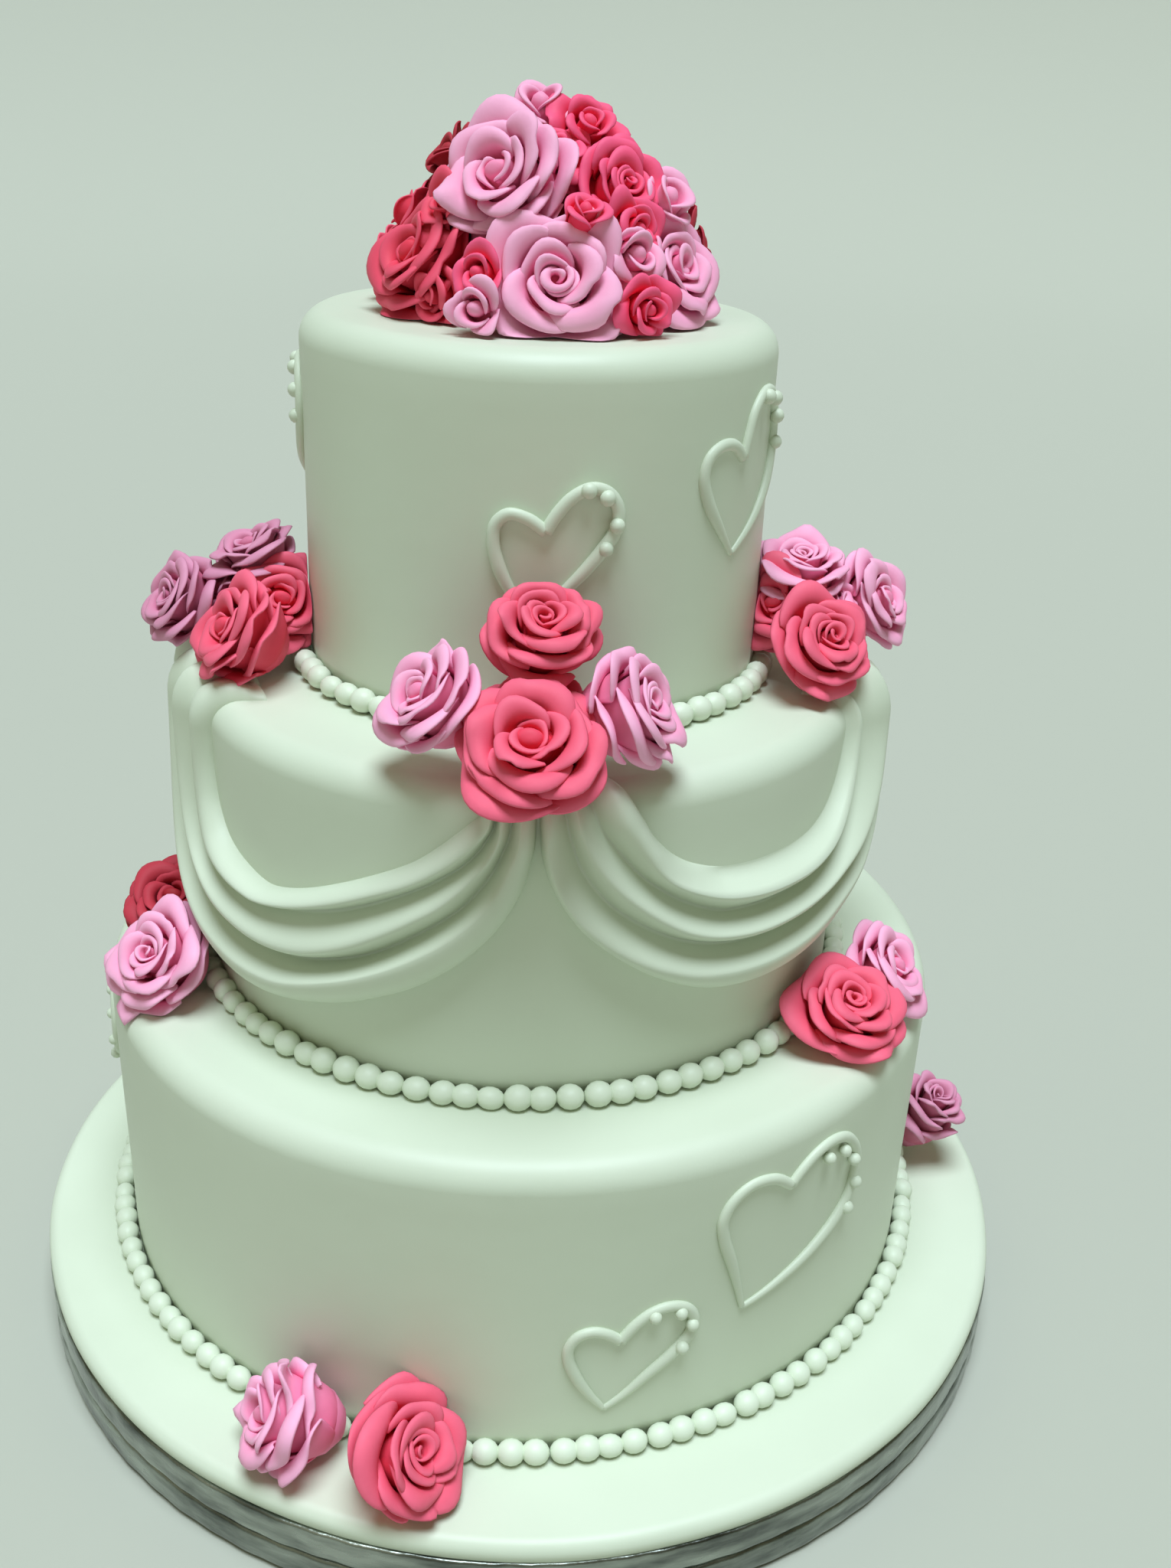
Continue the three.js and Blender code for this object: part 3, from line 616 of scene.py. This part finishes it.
def dot_on_wall(t, s, z, r):
    nu, nv = 12, 7
    th = s / t["r"]
    c = np.array([t["cx"] + math.sin(th) * (t["r"] + r * 0.85), t["cy"] - math.cos(th) * (t["r"] + r * 0.85), t["z0"] + z])
    v = [c + (0, 0, r)]
    for i in range(1, nv):
        a = math.pi * i / nv
        for j in range(nu):
            b = 2 * math.pi * j / nu
            v.append(c + np.array([math.sin(a) * math.cos(b), math.sin(a) * math.sin(b), math.cos(a)]) * r)
    v.append(c - (0, 0, r))
    f = [tuple(q) for q in grid_faces(nv - 1, nu, close_m=True, base=1)]
    last = len(v) - 1
    for j in range(nu):
        k = (j + 1) % nu
        f.append((0, 1 + j, 1 + k))
        f.append((last, last - nu + k, last - nu + j))
    return np.array(v), f


def heart(name, node, tname, left, right, dots, thick=2.1, move=(0.0, 0.0)):
    t = TIERS[tname]
    verts, faces = [], []
    base = 0
    parts = [rope_on_wall(t, smooth_line(left, 60) + np.array(move), thick, (0.9, 0.55)),
             rope_on_wall(t, smooth_line(right, 80) + np.array(move), thick * 1.02, (0.9, 0.55))]
    for i, (s, z) in enumerate(dots):
        parts.append(dot_on_wall(t, s + move[0], z + move[1], 2.35 + 0.15 * math.sin(7 * i + len(name))))
    for v, f in parts:
        verts.append(v)
        faces.extend([tuple(base + k for k in q) for q in f])
        base += len(v)
    make(name, np.concatenate(verts), faces, ICING, [node])


# outlines as laid on the wall: distance along it from the front, height above the tier's foot
H_TOP = dict(
    left=[(3.0, 66.4), (-2.6, 70.2), (-8.3, 71.3), (-12.0, 68.0), (-12.6, 62.2), (-11.0, 55.6), (-8.0, 49.0), (-1.5, 39.0)],
    right=[(3.0, 66.4), (6.2, 71.8), (10.6, 76.8), (16.2, 79.5), (21.4, 78.0), (24.6, 73.6), (24.8, 67.8), (19.8, 60.0), (11.7, 50.6), (4.5, 43.8), (-1.5, 39.0)],
    dots=[(15.2, 79.2), (20.8, 76.8), (24.2, 68.2), (21.0, 61.2)])
H_TOP_RIGHT = dict(
    left=[(74.8, 83.2), (69.2, 87.6), (62.8, 88.4), (57.2, 85.6), (55.2, 79.8), (57.8, 71.6), (63.4, 63.2), (71.9, 52.4)],
    right=[(74.8, 83.2), (77.3, 90.1), (80.6, 96.8), (87.0, 101.2), (94.0, 101.0), (100.8, 96.4), (104.4, 88.6), (103.2, 79.6), (97.6, 70.6), (86.6, 61.4), (71.9, 52.4)],
    dots=[(87.8, 100.2), (95.8, 98.4), (102.0, 91.6), (103.4, 82.8)])
H_BOTTOM_RIGHT = dict(
    left=[(94.3, 90.6), (86.4, 96.3), (77.6, 97.3), (70.8, 93.2), (67.6, 86.6), (68.5, 79.2), (72.6, 66.9), (75.8, 56.2), (78.5, 46.3)],
    right=[(94.3, 90.6), (98.8, 94.8), (105.2, 98.6), (112.4, 99.8), (119.6, 97.8), (125.8, 91.8), (128.8, 84.6), (128.4, 77.0), (126.0, 70.4), (120.6, 64.4), (108.2, 56.9), (94.2, 51.0), (84.6, 47.8), (78.5, 46.3)],
    dots=[(110.6, 94.2), (119.0, 93.0), (125.4, 86.0), (127.8, 75.2), (124.2, 66.4)])
H_BOTTOM = dict(
    left=[(34.6, 46.2), (29.8, 49.8), (24.9, 51.3), (20.5, 49.9), (17.8, 45.8), (17.6, 41.0), (19.7, 34.4), (24.3, 25.6), (30.1, 17.4)],
    right=[(34.6, 46.2), (39.4, 51.9), (44.9, 55.7), (51.2, 56.6), (57.0, 54.2), (59.9, 49.0), (58.8, 43.2), (53.0, 36.5), (44.4, 29.3), (36.6, 22.2), (30.1, 17.4)],
    dots=[(45.4, 54.6), (54.4, 53.8), (58.8, 47.6), (55.6, 39.0)])


def shifted(h, ds, dz, k=1.0):
    """the same outline elsewhere on the wall, k times its size"""
    s0 = np.mean([p[0] for p in h["left"] + h["right"]])
    z0 = h["left"][-1][1]
    return {key: [((s - s0) * k + ds, (z - z0) * k + dz) for s, z in pts] for key, pts in h.items()}


heart("rope_heart_top_front", "heart_top_front", "top", **H_TOP)
heart("rope_heart_top_right", "heart_top_right", "top", **H_TOP_RIGHT)
RT, RB = TIERS["top"]["r"], TIERS["bottom"]["r"]
heart("rope_heart_top_left", "heart_top_left", "top", **shifted(H_TOP_RIGHT, math.radians(-96) * RT, 57, 0.92))
heart("rope_heart_top_back", "heart_top_back", "top", **shifted(H_TOP_RIGHT, math.radians(157) * RT, 51, 0.92))
heart("rope_heart_bottom_front", "heart_bottom_front", "bottom", **H_BOTTOM, thick=2.0)
heart("rope_heart_bottom_right", "heart_bottom_right", "bottom", **H_BOTTOM_RIGHT)
heart("rope_heart_bottom_left", "heart_bottom_left", "bottom", **shifted(H_BOTTOM_RIGHT, math.radians(-90) * RB, 47, 0.95))
heart("rope_heart_bottom_back_right", "heart_bottom_back_right", "bottom", **shifted(H_BOTTOM_RIGHT, math.radians(121) * RB, 37, 0.85))
heart("rope_heart_bottom_back", "heart_bottom_back", "bottom", **shifted(H_BOTTOM_RIGHT, math.radians(208) * RB, 41, 0.95))


# ------------------------------------------------------------------ sugar roses
def petal(phi, w, rb, zb, rs, zs, lean, curl, turn, spiral, thick, rng, nu=15, nv=12, point=0.0, ruffle=0.03, pinch=0.0):
    """one petal of a rose of radius 1 that faces +Z.
    phi, w: its middle and half width as angles; rb, zb: foot; rs, zs: where the rim starts to fold out;
    lean: how far it leans out there; curl, turn: radius and angle of the folded lip;
    spiral: one side tucked in and the other out; point: a longer middle; pinch: a pinched corner"""
    u = np.linspace(-1, 1, nu)[:, None]
    v = np.linspace(0, 1, nv)[None, :]
    v1 = 0.5
    side = np.abs(u)
    ph1, ph2, ph3 = rng.uniform(0, 6.28, 3)
    asym = rng.normal() * 0.22
    u0 = rng.uniform(-0.55, 0.55)
    h = 1 - 0.30 * side ** 2.6                                          # the rim drops at the sides
    h = h + ruffle * np.sin(3.6 * u + ph1)
    zs_u = zb + (zs - zb) * h
    rs_u = rb + (rs - rb) * (1 - 0.10 * side ** 2.5) + ruffle * 0.6 * np.sin(4.2 * u + ph2)
    k = np.clip(v / v1, 0, 1)
    ln = lean * (1 + 0.25 * asym * u)
    tr, tz = np.sin(ln), np.cos(ln)
    # from the foot to the fold: a belly that leaves the foot and arrives along the lean
    span = np.hypot(rs_u - rb, zs_u - zb)
    m0r, m0z = span * 1.05, span * 0.30
    m1r, m1z = tr * span * 1.1, tz * span * 1.1
    h00, h10, h01, h11 = 2 * k**3 - 3 * k**2 + 1, k**3 - 2 * k**2 + k, -2 * k**3 + 3 * k**2, k**3 - k**2
    r = h00 * rb + h10 * m0r + h01 * rs_u + h11 * m1r
    z = h00 * zb + h10 * m0z + h01 * zs_u + h11 * m1z
    # the lip, folded out; it narrows to both sides
    q = np.clip((v - v1) / (1 - v1), 0, 1)
    pin = np.exp(-((u - u0) / 0.16) ** 2)
    cu = curl * (1 - 0.50 * side ** 3.2 + point * np.exp(-(u * 2.4) ** 2)) * (1 + 0.16 * np.sin(2.3 * u + ph3))
    a = q * turn * (1 + 0.4 * asym * u - 0.35 * side ** 2) * (1 - 0.25 * (pinch > 0) * pin)
    r = r + cu * (np.sin(a) * tr + (1 - np.cos(a)) * tz)
    z = z + cu * (np.sin(a) * tz - (1 - np.cos(a)) * tr)
    wave = ruffle * q ** 1.5 * np.sin(6.5 * u + ph3)
    r = r + wave * tz * 0.8 + pinch * pin * q ** 2 * (0.3 + tr * 0.8)
    z = z + wave * 0.9 + pinch * pin * q ** 2 * 0.55 * tz
    r = r + spiral * u * (0.35 + 0.65 * k)
    ang = phi + w * u * (0.50 + 0.50 * k ** 0.6)
    x, y = r * np.cos(ang), r * np.sin(ang)
    z = z * np.ones_like(x)
    p = np.stack([x, y, z], axis=-1)                                    # nu x nv x 3
    du = np.gradient(p, axis=0)
    dv = np.gradient(p, axis=1)
    nrm = np.cross(du, dv)
    nrm /= np.linalg.norm(nrm, axis=2)[:, :, None] + 1e-12
    th = thick * (1.0 - 0.30 * side ** 2) * (1.0 - 0.25 * q ** 1.5)
    th = (th * np.ones((nu, nv)))[:, :, None]
    one, two = p + nrm * th / 2, p - nrm * th / 2
    # ring around the border, pushed out by half the thickness so that the rim is round
    idx = [(i, 0) for i in range(nu)] + [(nu - 1, j) for j in range(1, nv)]
    idx += [(i, nv - 1) for i in range(nu - 2, -1, -1)] + [(0, j) for j in range(nv - 2, 0, -1)]
    border = []
    for i, j in idx:
        o = np.zeros(3)
        if i == 0:
            o -= du[i, j] / (np.linalg.norm(du[i, j]) + 1e-9)
        if i == nu - 1:
            o += du[i, j] / (np.linalg.norm(du[i, j]) + 1e-9)
        if j == 0:
            o -= dv[i, j] / (np.linalg.norm(dv[i, j]) + 1e-9)
        if j == nv - 1:
            o += dv[i, j] / (np.linalg.norm(dv[i, j]) + 1e-9)
        o /= np.linalg.norm(o) + 1e-9
        border.append(p[i, j] + o * th[i, j] * 0.5)
    verts = np.concatenate([one.reshape(-1, 3), two.reshape(-1, 3), np.array(border)])
    n1 = nu * nv
    faces = [tuple(reversed(f)) for f in grid_faces(nu, nv)]
    faces += [tuple(n1 + e for e in f) for f in grid_faces(nu, nv)]
    nb = len(idx)
    for s in range(nb):
        e = (s + 1) % nb
        i0, i1 = idx[s][0] * nv + idx[s][1], idx[e][0] * nv + idx[e][1]
        faces.append((i0, 2 * n1 + s, 2 * n1 + e, i1))
        faces.append((n1 + i1, 2 * n1 + e, 2 * n1 + s, n1 + i0))
    # deeper at the petal's foot, paler out on the lip and at its outer edge: partly the paste's own tone, partly
    # painted shade low in the cup and a painted highlight on the rim
    paste_tone_and_painted_light = np.clip(0.15 + 0.34 * k ** 2 + 0.48 * q, 0, 1) * np.ones((nu, nv))
    paste_tone_and_painted_light = np.concatenate([paste_tone_and_painted_light.reshape(-1), paste_tone_and_painted_light.reshape(-1), np.array([paste_tone_and_painted_light[i, j] + 0.12 * (j > nv / 2) for i, j in idx])])
    return verts, faces, paste_tone_and_painted_light


def blob(rings, seg, swirl=0.0):
    """closed body of revolution with a swirl, rings of (radius, height) from the top down"""
    verts = [(0, 0, rings[0][1])]
    for r, z in rings[1:-1]:
        for j in range(seg):
            a = 2 * math.pi * j / seg
            rr = r * (1 + 0.10 * math.sin(2 * a + swirl * z))
            verts.append((rr * math.cos(a), rr * math.sin(a), z + 0.02 * math.sin(a)))
    verts.append((0, 0, rings[-1][1]))
    n = len(rings) - 2
    faces = [tuple(reversed(f)) for f in grid_faces(n, seg, close_m=True, base=1)]
    last = len(verts) - 1
    for j in range(seg):
        k = (j + 1) % seg
        faces.append((0, 1 + j, 1 + k))
        faces.append((last, last - seg + k, last - seg + j))
    return np.array(verts), faces


def rose_body(kind, rng, centre="bud"):
    """all petals of a rose of radius 1, facing +Z"""
    parts = []
    start = rng.uniform(0, 6.28)

    def layer(count, rs, zs, w, lean, curl, turn, spiral, rb, zb, thick, point=0.0, ruffle=0.02, pinch=0.0, nu=15, nv=11):
        nonlocal start
        for i in range(count):
            phi = start + 2 * math.pi * i / count + rng.normal() * 0.09
            step = i / max(count, 1) - 0.5
            pc = pinch * abs(rng.normal()) * (1.0 if rng.random() < 0.55 else 0.0)
            parts.append(petal(
                phi, w * (1 + 0.10 * rng.normal()), rb, zb,
                rs * (1 + 0.05 * step + 0.035 * rng.normal()), zs + 0.03 * rng.normal() - 0.03 * step,
                lean * (1 + 0.10 * rng.normal()), curl * (1 + 0.16 * rng.normal()), turn * (1 + 0.10 * rng.normal()),
                spiral, thick, rng, point=point * max(0.0, 1 + 0.6 * rng.normal()), ruffle=ruffle, nu=nu, nv=nv, pinch=pc))
        start += math.pi / count + 0.5

    # centres and feet are coloured from the dark end of the ramp, centres growing lighter upwards: painted shade where
    # the petals close over them
    if kind == "full":
        if centre == "bud":
            v, f = blob([(0, 0.50), (0.07, 0.495), (0.125, 0.465), (0.155, 0.41), (0.17, 0.33), (0.24, 0.26), (0.34, 0.17), (0.42, 0.0), (0.30, -0.15), (0, -0.2)], 18, 5.0)
            v = v * np.array([1.15, 0.9, 1.0])
            parts.append((v, f, np.clip((v[:, 2] - 0.28) * 2.2, 0.0, 0.40)))
            layer(2, 0.215, 0.41, 1.60, 0.12, 0.050, 1.7, 0.045, 0.15, 0.0, 0.050, nu=17, pinch=0.03)
        else:
            v, f = blob([(0, 0.24), (0.1, 0.235), (0.2, 0.20), (0.3, 0.14), (0.40, 0.0), (0.30, -0.15), (0, -0.2)], 16, 0.0)
            parts.append((v, f, np.full(len(v), 0.05)))
            layer(1, 0.070, 0.43, 3.0, 0.02, 0.040, 1.8, 0.035, 0.04, 0.0, 0.045, nu=21)
            layer(1, 0.150, 0.45, 2.7, 0.05, 0.050, 1.9, 0.045, 0.08, 0.0, 0.045, nu=21)
            layer(2, 0.240, 0.44, 1.75, 0.12, 0.065, 1.9, 0.050, 0.12, 0.0, 0.048, nu=17)
        layer(3, 0.365, 0.43, 1.38, 0.18, 0.120, 1.85, 0.080, 0.20, -0.05, 0.060, point=0.10, pinch=0.07, nu=17)
        layer(4, 0.550, 0.35, 1.18, 0.30, 0.165, 1.90, 0.085, 0.28, -0.24, 0.066, point=0.12, ruffle=0.03, pinch=0.10, nu=19)
        layer(4, 0.710, 0.17, 1.15, 0.44, 0.200, 1.85, 0.085, 0.38, -0.46, 0.072, point=0.12, ruffle=0.05, pinch=0.13, nu=21, nv=13)
        layer(4, 0.780, -0.12, 1.12, 0.62, 0.195, 1.65, 0.070, 0.42, -0.66, 0.070, point=0.14, ruffle=0.06, pinch=0.13, nu=21)
        v, f = blob([(0, -0.1), (0.40, -0.14), (0.58, -0.28), (0.62, -0.44), (0.52, -0.66), (0.30, -0.86), (0, -0.92)], 16, 0.0)
        parts.append((v, f, np.full(len(v), 0.42)))
    elif kind == "small":
        v, f = blob([(0, 0.52), (0.09, 0.51), (0.16, 0.45), (0.19, 0.34), (0.18, 0.1), (0.12, -0.1), (0, -0.2)], 14, 5.0)
        parts.append((v, f, np.clip(0.30 + (v[:, 2] - 0.1) * 0.9, 0, 0.62)))
        layer(2, 0.26, 0.52, 1.65, 0.10, 0.070, 1.6, 0.060, 0.14, -0.2, 0.060, nu=15, nv=11)
        layer(3, 0.45, 0.42, 1.25, 0.32, 0.150, 1.7, 0.080, 0.2, -0.35, 0.065, point=0.15, pinch=0.08, nu=15, nv=11)
        layer(4, 0.66, 0.12, 1.05, 0.70, 0.240, 1.5, 0.070, 0.24, -0.55, 0.065, point=0.20, ruffle=0.06, pinch=0.10, nu=17, nv=11)
        v, f = blob([(0, -0.1), (0.34, -0.18), (0.46, -0.32), (0.42, -0.5), (0.28, -0.7), (0.14, -0.82), (0, -0.86)], 12, 0.0)
        parts.append((v, f, np.full(len(v), 0.42)))
    else:                                                # a bud, hardly open
        v, f = blob([(0, 0.72), (0.12, 0.70), (0.22, 0.60), (0.28, 0.42), (0.28, 0.1), (0.2, -0.2), (0, -0.3)], 14, 5.0)
        parts.append((v, f, np.clip(0.30 + (v[:, 2] - 0.1) * 0.6, 0, 0.62)))
        layer(2, 0.42, 0.66, 1.65, 0.12, 0.130, 1.6, 0.10, 0.26, -0.5, 0.09, nu=15, nv=11)
        layer(3, 0.62, 0.38, 1.20, 0.40, 0.240, 1.6, 0.10, 0.28, -0.7, 0.09, point=0.2, pinch=0.12, nu=15, nv=11)
        v, f = blob([(0, 0.1), (0.40, -0.1), (0.52, -0.32), (0.48, -0.55), (0.32, -0.75), (0.16, -0.88), (0, -0.9)], 12, 0.0)
        parts.append((v, f, np.full(len(v), 0.05)))
    return parts


def above(h, soft=2.0):
    """height over a surface, squeezed so that it never goes below"""
    return np.where(h > soft, h, soft * np.exp((np.minimum(h, soft) - soft) / soft))


def lie_on_icing(v):
    for t in TIERS.values():
        dx, dy = v[:, 0] - t["cx"], v[:, 1] - t["cy"]
        r = np.hypot(dx, dy) + 1e-9
        hr, hz = r - t["r"] - 0.3, v[:, 2] - t["z1"] - 0.2
        near = v[:, 2] > t["z0"] - 1.0
        up = near & (hz > hr) & (hr < 0)
        out = near & ~up & (hz < 0)
        v[:, 2] = np.where(up, t["z1"] + 0.2 + above(hz), v[:, 2])
        rn = np.where(out, t["r"] + 0.3 + above(hr), r)
        v[:, 0], v[:, 1] = t["cx"] + dx * rn / r, t["cy"] + dy * rn / r
    inside = np.hypot(v[:, 0], v[:, 1]) < BOARD_R
    v[:, 2] = np.where(inside, BOARD_TOP + 0.2 + above(v[:, 2] - BOARD_TOP - 0.2), v[:, 2])
    return v


def rose(name, kind, colour, radius, x, y, z, az, el, seed, deep=1.0, node=None):
    """x, y from the bottom tier's axis, z above the board's top; az, el: the way it faces; deep: its depth"""
    rng = np.random.default_rng(seed)
    parts = rose_body(kind, rng, "spiral" if seed % 2 == 0 else "bud")
    a, e = math.radians(az), math.radians(el)
    axis = Vector((math.sin(a) * math.cos(e), -math.cos(a) * math.cos(e), math.sin(e)))
    rot = Vector((0, 0, 1)).rotation_difference(axis).to_matrix()
    m = np.array(rot)
    verts, faces, paste_tones_and_painted_light = [], [], []
    base = 0
    for i, (v, f, tn) in enumerate(parts):
        v = v * radius * 0.95
        v[:, 2] *= deep
        v = v @ m.T + np.array([x + AXIS[0], y + AXIS[1], z + BOARD_TOP])
        verts.append(v if i == len(parts) - 1 else lie_on_icing(v))
        faces.extend([tuple(base + k for k in q) for q in f])
        paste_tones_and_painted_light.append(tn)
        base += len(v)
    return make(name, np.concatenate(verts), faces, COLOUR[colour], [node] if node else [], np.concatenate(paste_tones_and_painted_light))


# some roses take the coral made brighter or darker, or the pink made darker, for where they sit: painted light and
# painted shade
ROSES = [
    # bunch on the top tier
    ("rose_top_pink_upper", "full", "pink", 21.3, -10, -26, 385, -34, 30, 101),
    ("rose_top_pink_centre", "full", "pink", 22, 5, -45, 357.5, 0, 26, 102),
    ("rose_top_coral_left", "full", "deep", 20.5, -35.5, -20, 360, -60, 34, 103),
    ("rose_top_coral_right", "full", "vivid", 16.5, 23, -17, 383, 35, 30, 104),
    ("rose_top_coral_crown", "small", "vivid", 13.2, 13, -4, 399.5, 20, 40, 105),
    ("bud_top_pink_crown", "bud", "pink", 12, -1, 3, 402.5, 0, 60, 106),
    ("rose_top_coral_upper_left", "small", "red", 14.5, -26, 0, 389, -80, 40, 107),
    ("rose_top_pink_right", "full", "pink", 20, 39, -19, 359, 50, 30, 108),
    ("bud_top_pink_right", "bud", "pink", 12, 36.5, -13, 378.5, 50, 40, 109),
    ("bud_top_coral_right", "small", "red", 11.5, 48, 2, 365, 90, 14, 110),
    ("bud_top_coral_left", "bud", "vivid", 9, -17, -50, 360.5, -22, 18, 111),
    ("bud_top_pink_left", "bud", "pink", 9.5, -17.5, -54, 351.5, -20, 8, 112),
    ("rose_top_coral_lower_right", "small", "vivid", 11, 31, -49, 352.5, 32, 4, 113),
    ("rose_top_pink_back", "full", "pink", 21, -20, 30, 366, 212, 20, 114),
    ("rose_top_coral_back", "full", "coral", 20, 21, 32, 364.5, 148, 20, 115),
    ("rose_top_pink_back_upper", "full", "pink", 15.5, 2, 20, 389, 176, 44, 116),
    ("bud_top_coral_back_left", "small", "coral", 12, -48, 14, 357, 250, 6, 117),
    # front gather of the swags
    ("rose_front_coral", "full", "coral", 21, 1, -128, 241.5, -8, 54, 121),
    ("rose_front_coral_upper", "full", "coral", 16.8, 3.0, -101, 267, 10, 57, 122, 1.3),
    ("rose_front_pink_left", "full", "pink", 17.5, -28, -111, 249, -66, 40, 123),
    ("rose_front_pink_right", "full", "pink", 19, 29.5, -109, 247.5, 72, 28, 124),
    # left gather
    ("rose_left_coral", "full", "coral", 19, -96.5, -38, 242.5, -62, 30, 125),
    ("rose_left_pink_outer", "full", "mauve", 16.5, -121.5, -10.5, 243.5, -60, 30, 126),
    ("rose_left_pink_upper", "full", "mauve", 16, -96.5, -4, 258.5, -70, 66, 127),
    # right gather
    ("rose_right_coral", "full", "coral", 18.6, 98.5, -34.5, 242.8, 30, 42, 128),
    ("rose_right_pink_outer", "full", "pink", 16.5, 121.5, -3, 248, 56, 32, 129),
    ("rose_right_pink_upper", "full", "pink", 17.5, 94, -6, 259.8, 0, 76, 130),
    # back gather
    ("rose_back_coral", "full", "coral", 20, -4, 112, 245.5, 182, 12, 131),
    ("rose_back_pink_left", "full", "pink", 15.5, -35, 103, 247, 238, 8, 132),
    ("rose_back_pink_upper", "full", "pink", 16, 16, 97, 261, 170, 44, 133),
    # on the bottom tier
    ("rose_ledge_left_pink", "full", "pink", 19.5, -125.5, -61.5, 129.5, -46, 42, 134),
    ("rose_ledge_left_coral", "full", "red", 18.5, -127, -33, 135.5, 0, 62, 135),
    ("rose_ledge_right_coral", "full", "coral", 18.8, 111.5, -82, 127.5, 30, 64, 136),
    ("rose_ledge_right_pink", "full", "pink", 17.3, 129, -58, 128.5, 64, 42, 137),
    # on the board
    ("rose_board_coral", "full", "coral", 21, -34, -172, 17.2, 60, 34, 138),
    ("rose_board_pink", "full", "pink", 18.3, -73, -158, 17, -74, 24, 239, 1.25),
    ("rose_board_right_pink", "full", "mauve", 14, 172, 2, 24.5, 50, 68, 140, 1.8),
]
for r in ROSES:
    rose("petals_" + r[0], *r[1:], node=r[0])

# small flowers tucked between them
# some of these take the coral made brighter or darker, or the pink made darker: painted light and painted shade
SMALL = [
    ("coral_bud_centre", "bud", "vivid", 8, 12.0, -44, 377, 30, 55, 201),
    ("pink_bud_centre_right", "bud", "pink", 10, 27, -38, 366, 34, 18, 202),
    ("coral_bud_inner_left", "small", "deep", 13, -27, -24, 377, -42, 30, 204),
    ("coral_bud_low_left", "small", "deep", 12, -30, -34, 352, -46, 4, 205),
    ("coral_bud_inner_right", "small", "vivid", 13, 27, -30, 372, 40, 20, 206),
    ("coral_bud_top_inner", "small", "vivid", 13, 4, -14, 391, 5, 50, 207),
    ("pink_bud_inner_right", "small", "pink", 12, 34, -4, 381, 80, 40, 208),
    ("coral_bud_inner_back", "small", "coral", 13, -26, 14, 383, 250, 40, 209),
    ("coral_bud_back", "small", "coral", 13, 1, 40, 356, 180, 10, 210),
    ("pink_bud_back_right", "small", "pink", 13, 42, 20, 358, 115, 8, 211),
    ("coral_bud_inner_back_right", "small", "coral", 13, 22, 16, 388, 130, 45, 212),
    ("pink_rose_left_gather", "small", "mauve", 12.5, -107, -8, 246, -60, 40, 216),
    ("coral_rose_left_gather", "full", "coral", 17, -86, -17, 247, 10, 30, 213),
    ("pink_rose_right_gather", "small", "pink", 12, 107, -10, 248, 50, 34, 218),
    ("coral_rose_right_gather", "full", "coral", 17, 86, -15, 250, -30, 30, 217),
    ("coral_rose_front_gather", "full", "coral", 15.5, 2, -103, 242, 0, 66, 219),
    ("coral_bud_left_side", "small", "deep", 13, -40, 5, 370, 262, 26, 221),
    ("coral_bud_right_side", "small", "red", 12, 44, 6, 356, 98, 10, 223),
]
for r in SMALL:
    rose(*r)


def mound():
    """the sugar paste that the bunch on the top tier is pressed into; the flowers cover it"""
    v, f = blob([(0, 1.0), (0.30, 0.955), (0.55, 0.84), (0.74, 0.67), (0.88, 0.47), (0.97, 0.24), (1.0, 0.01), (0, 0.0)], 40, 2.0)
    v = v * np.array([36.0, 34.0, 37.0]) + np.array([1.0 + AXIS[0], -6.0 + AXIS[1], TIERS["top"]["z1"] + 0.3])
    v[:, 2] = np.maximum(v[:, 2], TIERS["top"]["z1"] + 0.3)
    make("paste_mound_under_bunch", v, f, RED, (), np.full(len(v), 0.3))


mound()


# ------------------------------------------------------------------ floor, light
def stage():
    # a flat floor that sweeps up far away
    prof = [(0.02, 0.0), (1.0, 0.0), (3.0, 0.0)] + [(3.0 + 2.7 * math.sin(x), 2.7 * (1 - math.cos(x))) for x in np.linspace(0.08, 1.5, 22)]
    seg = 96
    verts, faces = [(0, 0, 0)], []
    for r, z in prof:
        verts += [(r * math.cos(2 * math.pi * j / seg), r * math.sin(2 * math.pi * j / seg), z) for j in range(seg)]
    faces = [tuple(f) for f in grid_faces(len(prof), seg, close_m=True, base=1)]
    faces += [(0, 1 + j, 1 + (j + 1) % seg) for j in range(seg)]
    me = bpy.data.meshes.new("floor")
    me.from_pydata(verts, [], faces)
    me.update()
    me.polygons.foreach_set("use_smooth", np.ones(len(me.polygons), dtype=bool))
    m, nt, b = new_material("floor")
    b.inputs["Base Color"].default_value = (0.47, 0.48, 0.41, 1)
    b.inputs["Roughness"].default_value = 0.8
    b.inputs["Specular IOR Level"].default_value = 0.1
    me.materials.append(m)
    ob = bpy.data.objects.new("floor", me)
    bpy.context.scene.collection.objects.link(ob)

    def sun(name, az, el, angle, energy, color):
        l = bpy.data.lights.new(name, "SUN")
        l.energy = energy
        l.angle = math.radians(angle)
        l.color = color
        o = bpy.data.objects.new(name, l)
        a, e = math.radians(az), math.radians(el)
        d = Vector((math.sin(a) * math.cos(e), -math.cos(a) * math.cos(e), math.sin(e)))
        o.rotation_euler = d.to_track_quat("Z", "Y").to_euler()
        bpy.context.scene.collection.objects.link(o)
    sun("overhead_light", 4, 80, 30, 3.75, (0.78, 0.90, 1.0))
    sun("fill_light", -45, 26, 90, 0.37, (0.97, 1.0, 0.78))

    w = bpy.data.worlds.new("world")
    w.use_nodes = True
    w.node_tree.nodes["Background"].inputs["Color"].default_value = (1.0, 0.99, 0.58, 1)
    w.node_tree.nodes["Background"].inputs["Strength"].default_value = 0.142
    bpy.context.scene.world = w
    vs = bpy.context.scene.view_settings
    vs.view_transform = "Standard"
    vs.look = "None"
    vs.exposure = 0.0
    vs.gamma = 1.0


stage()
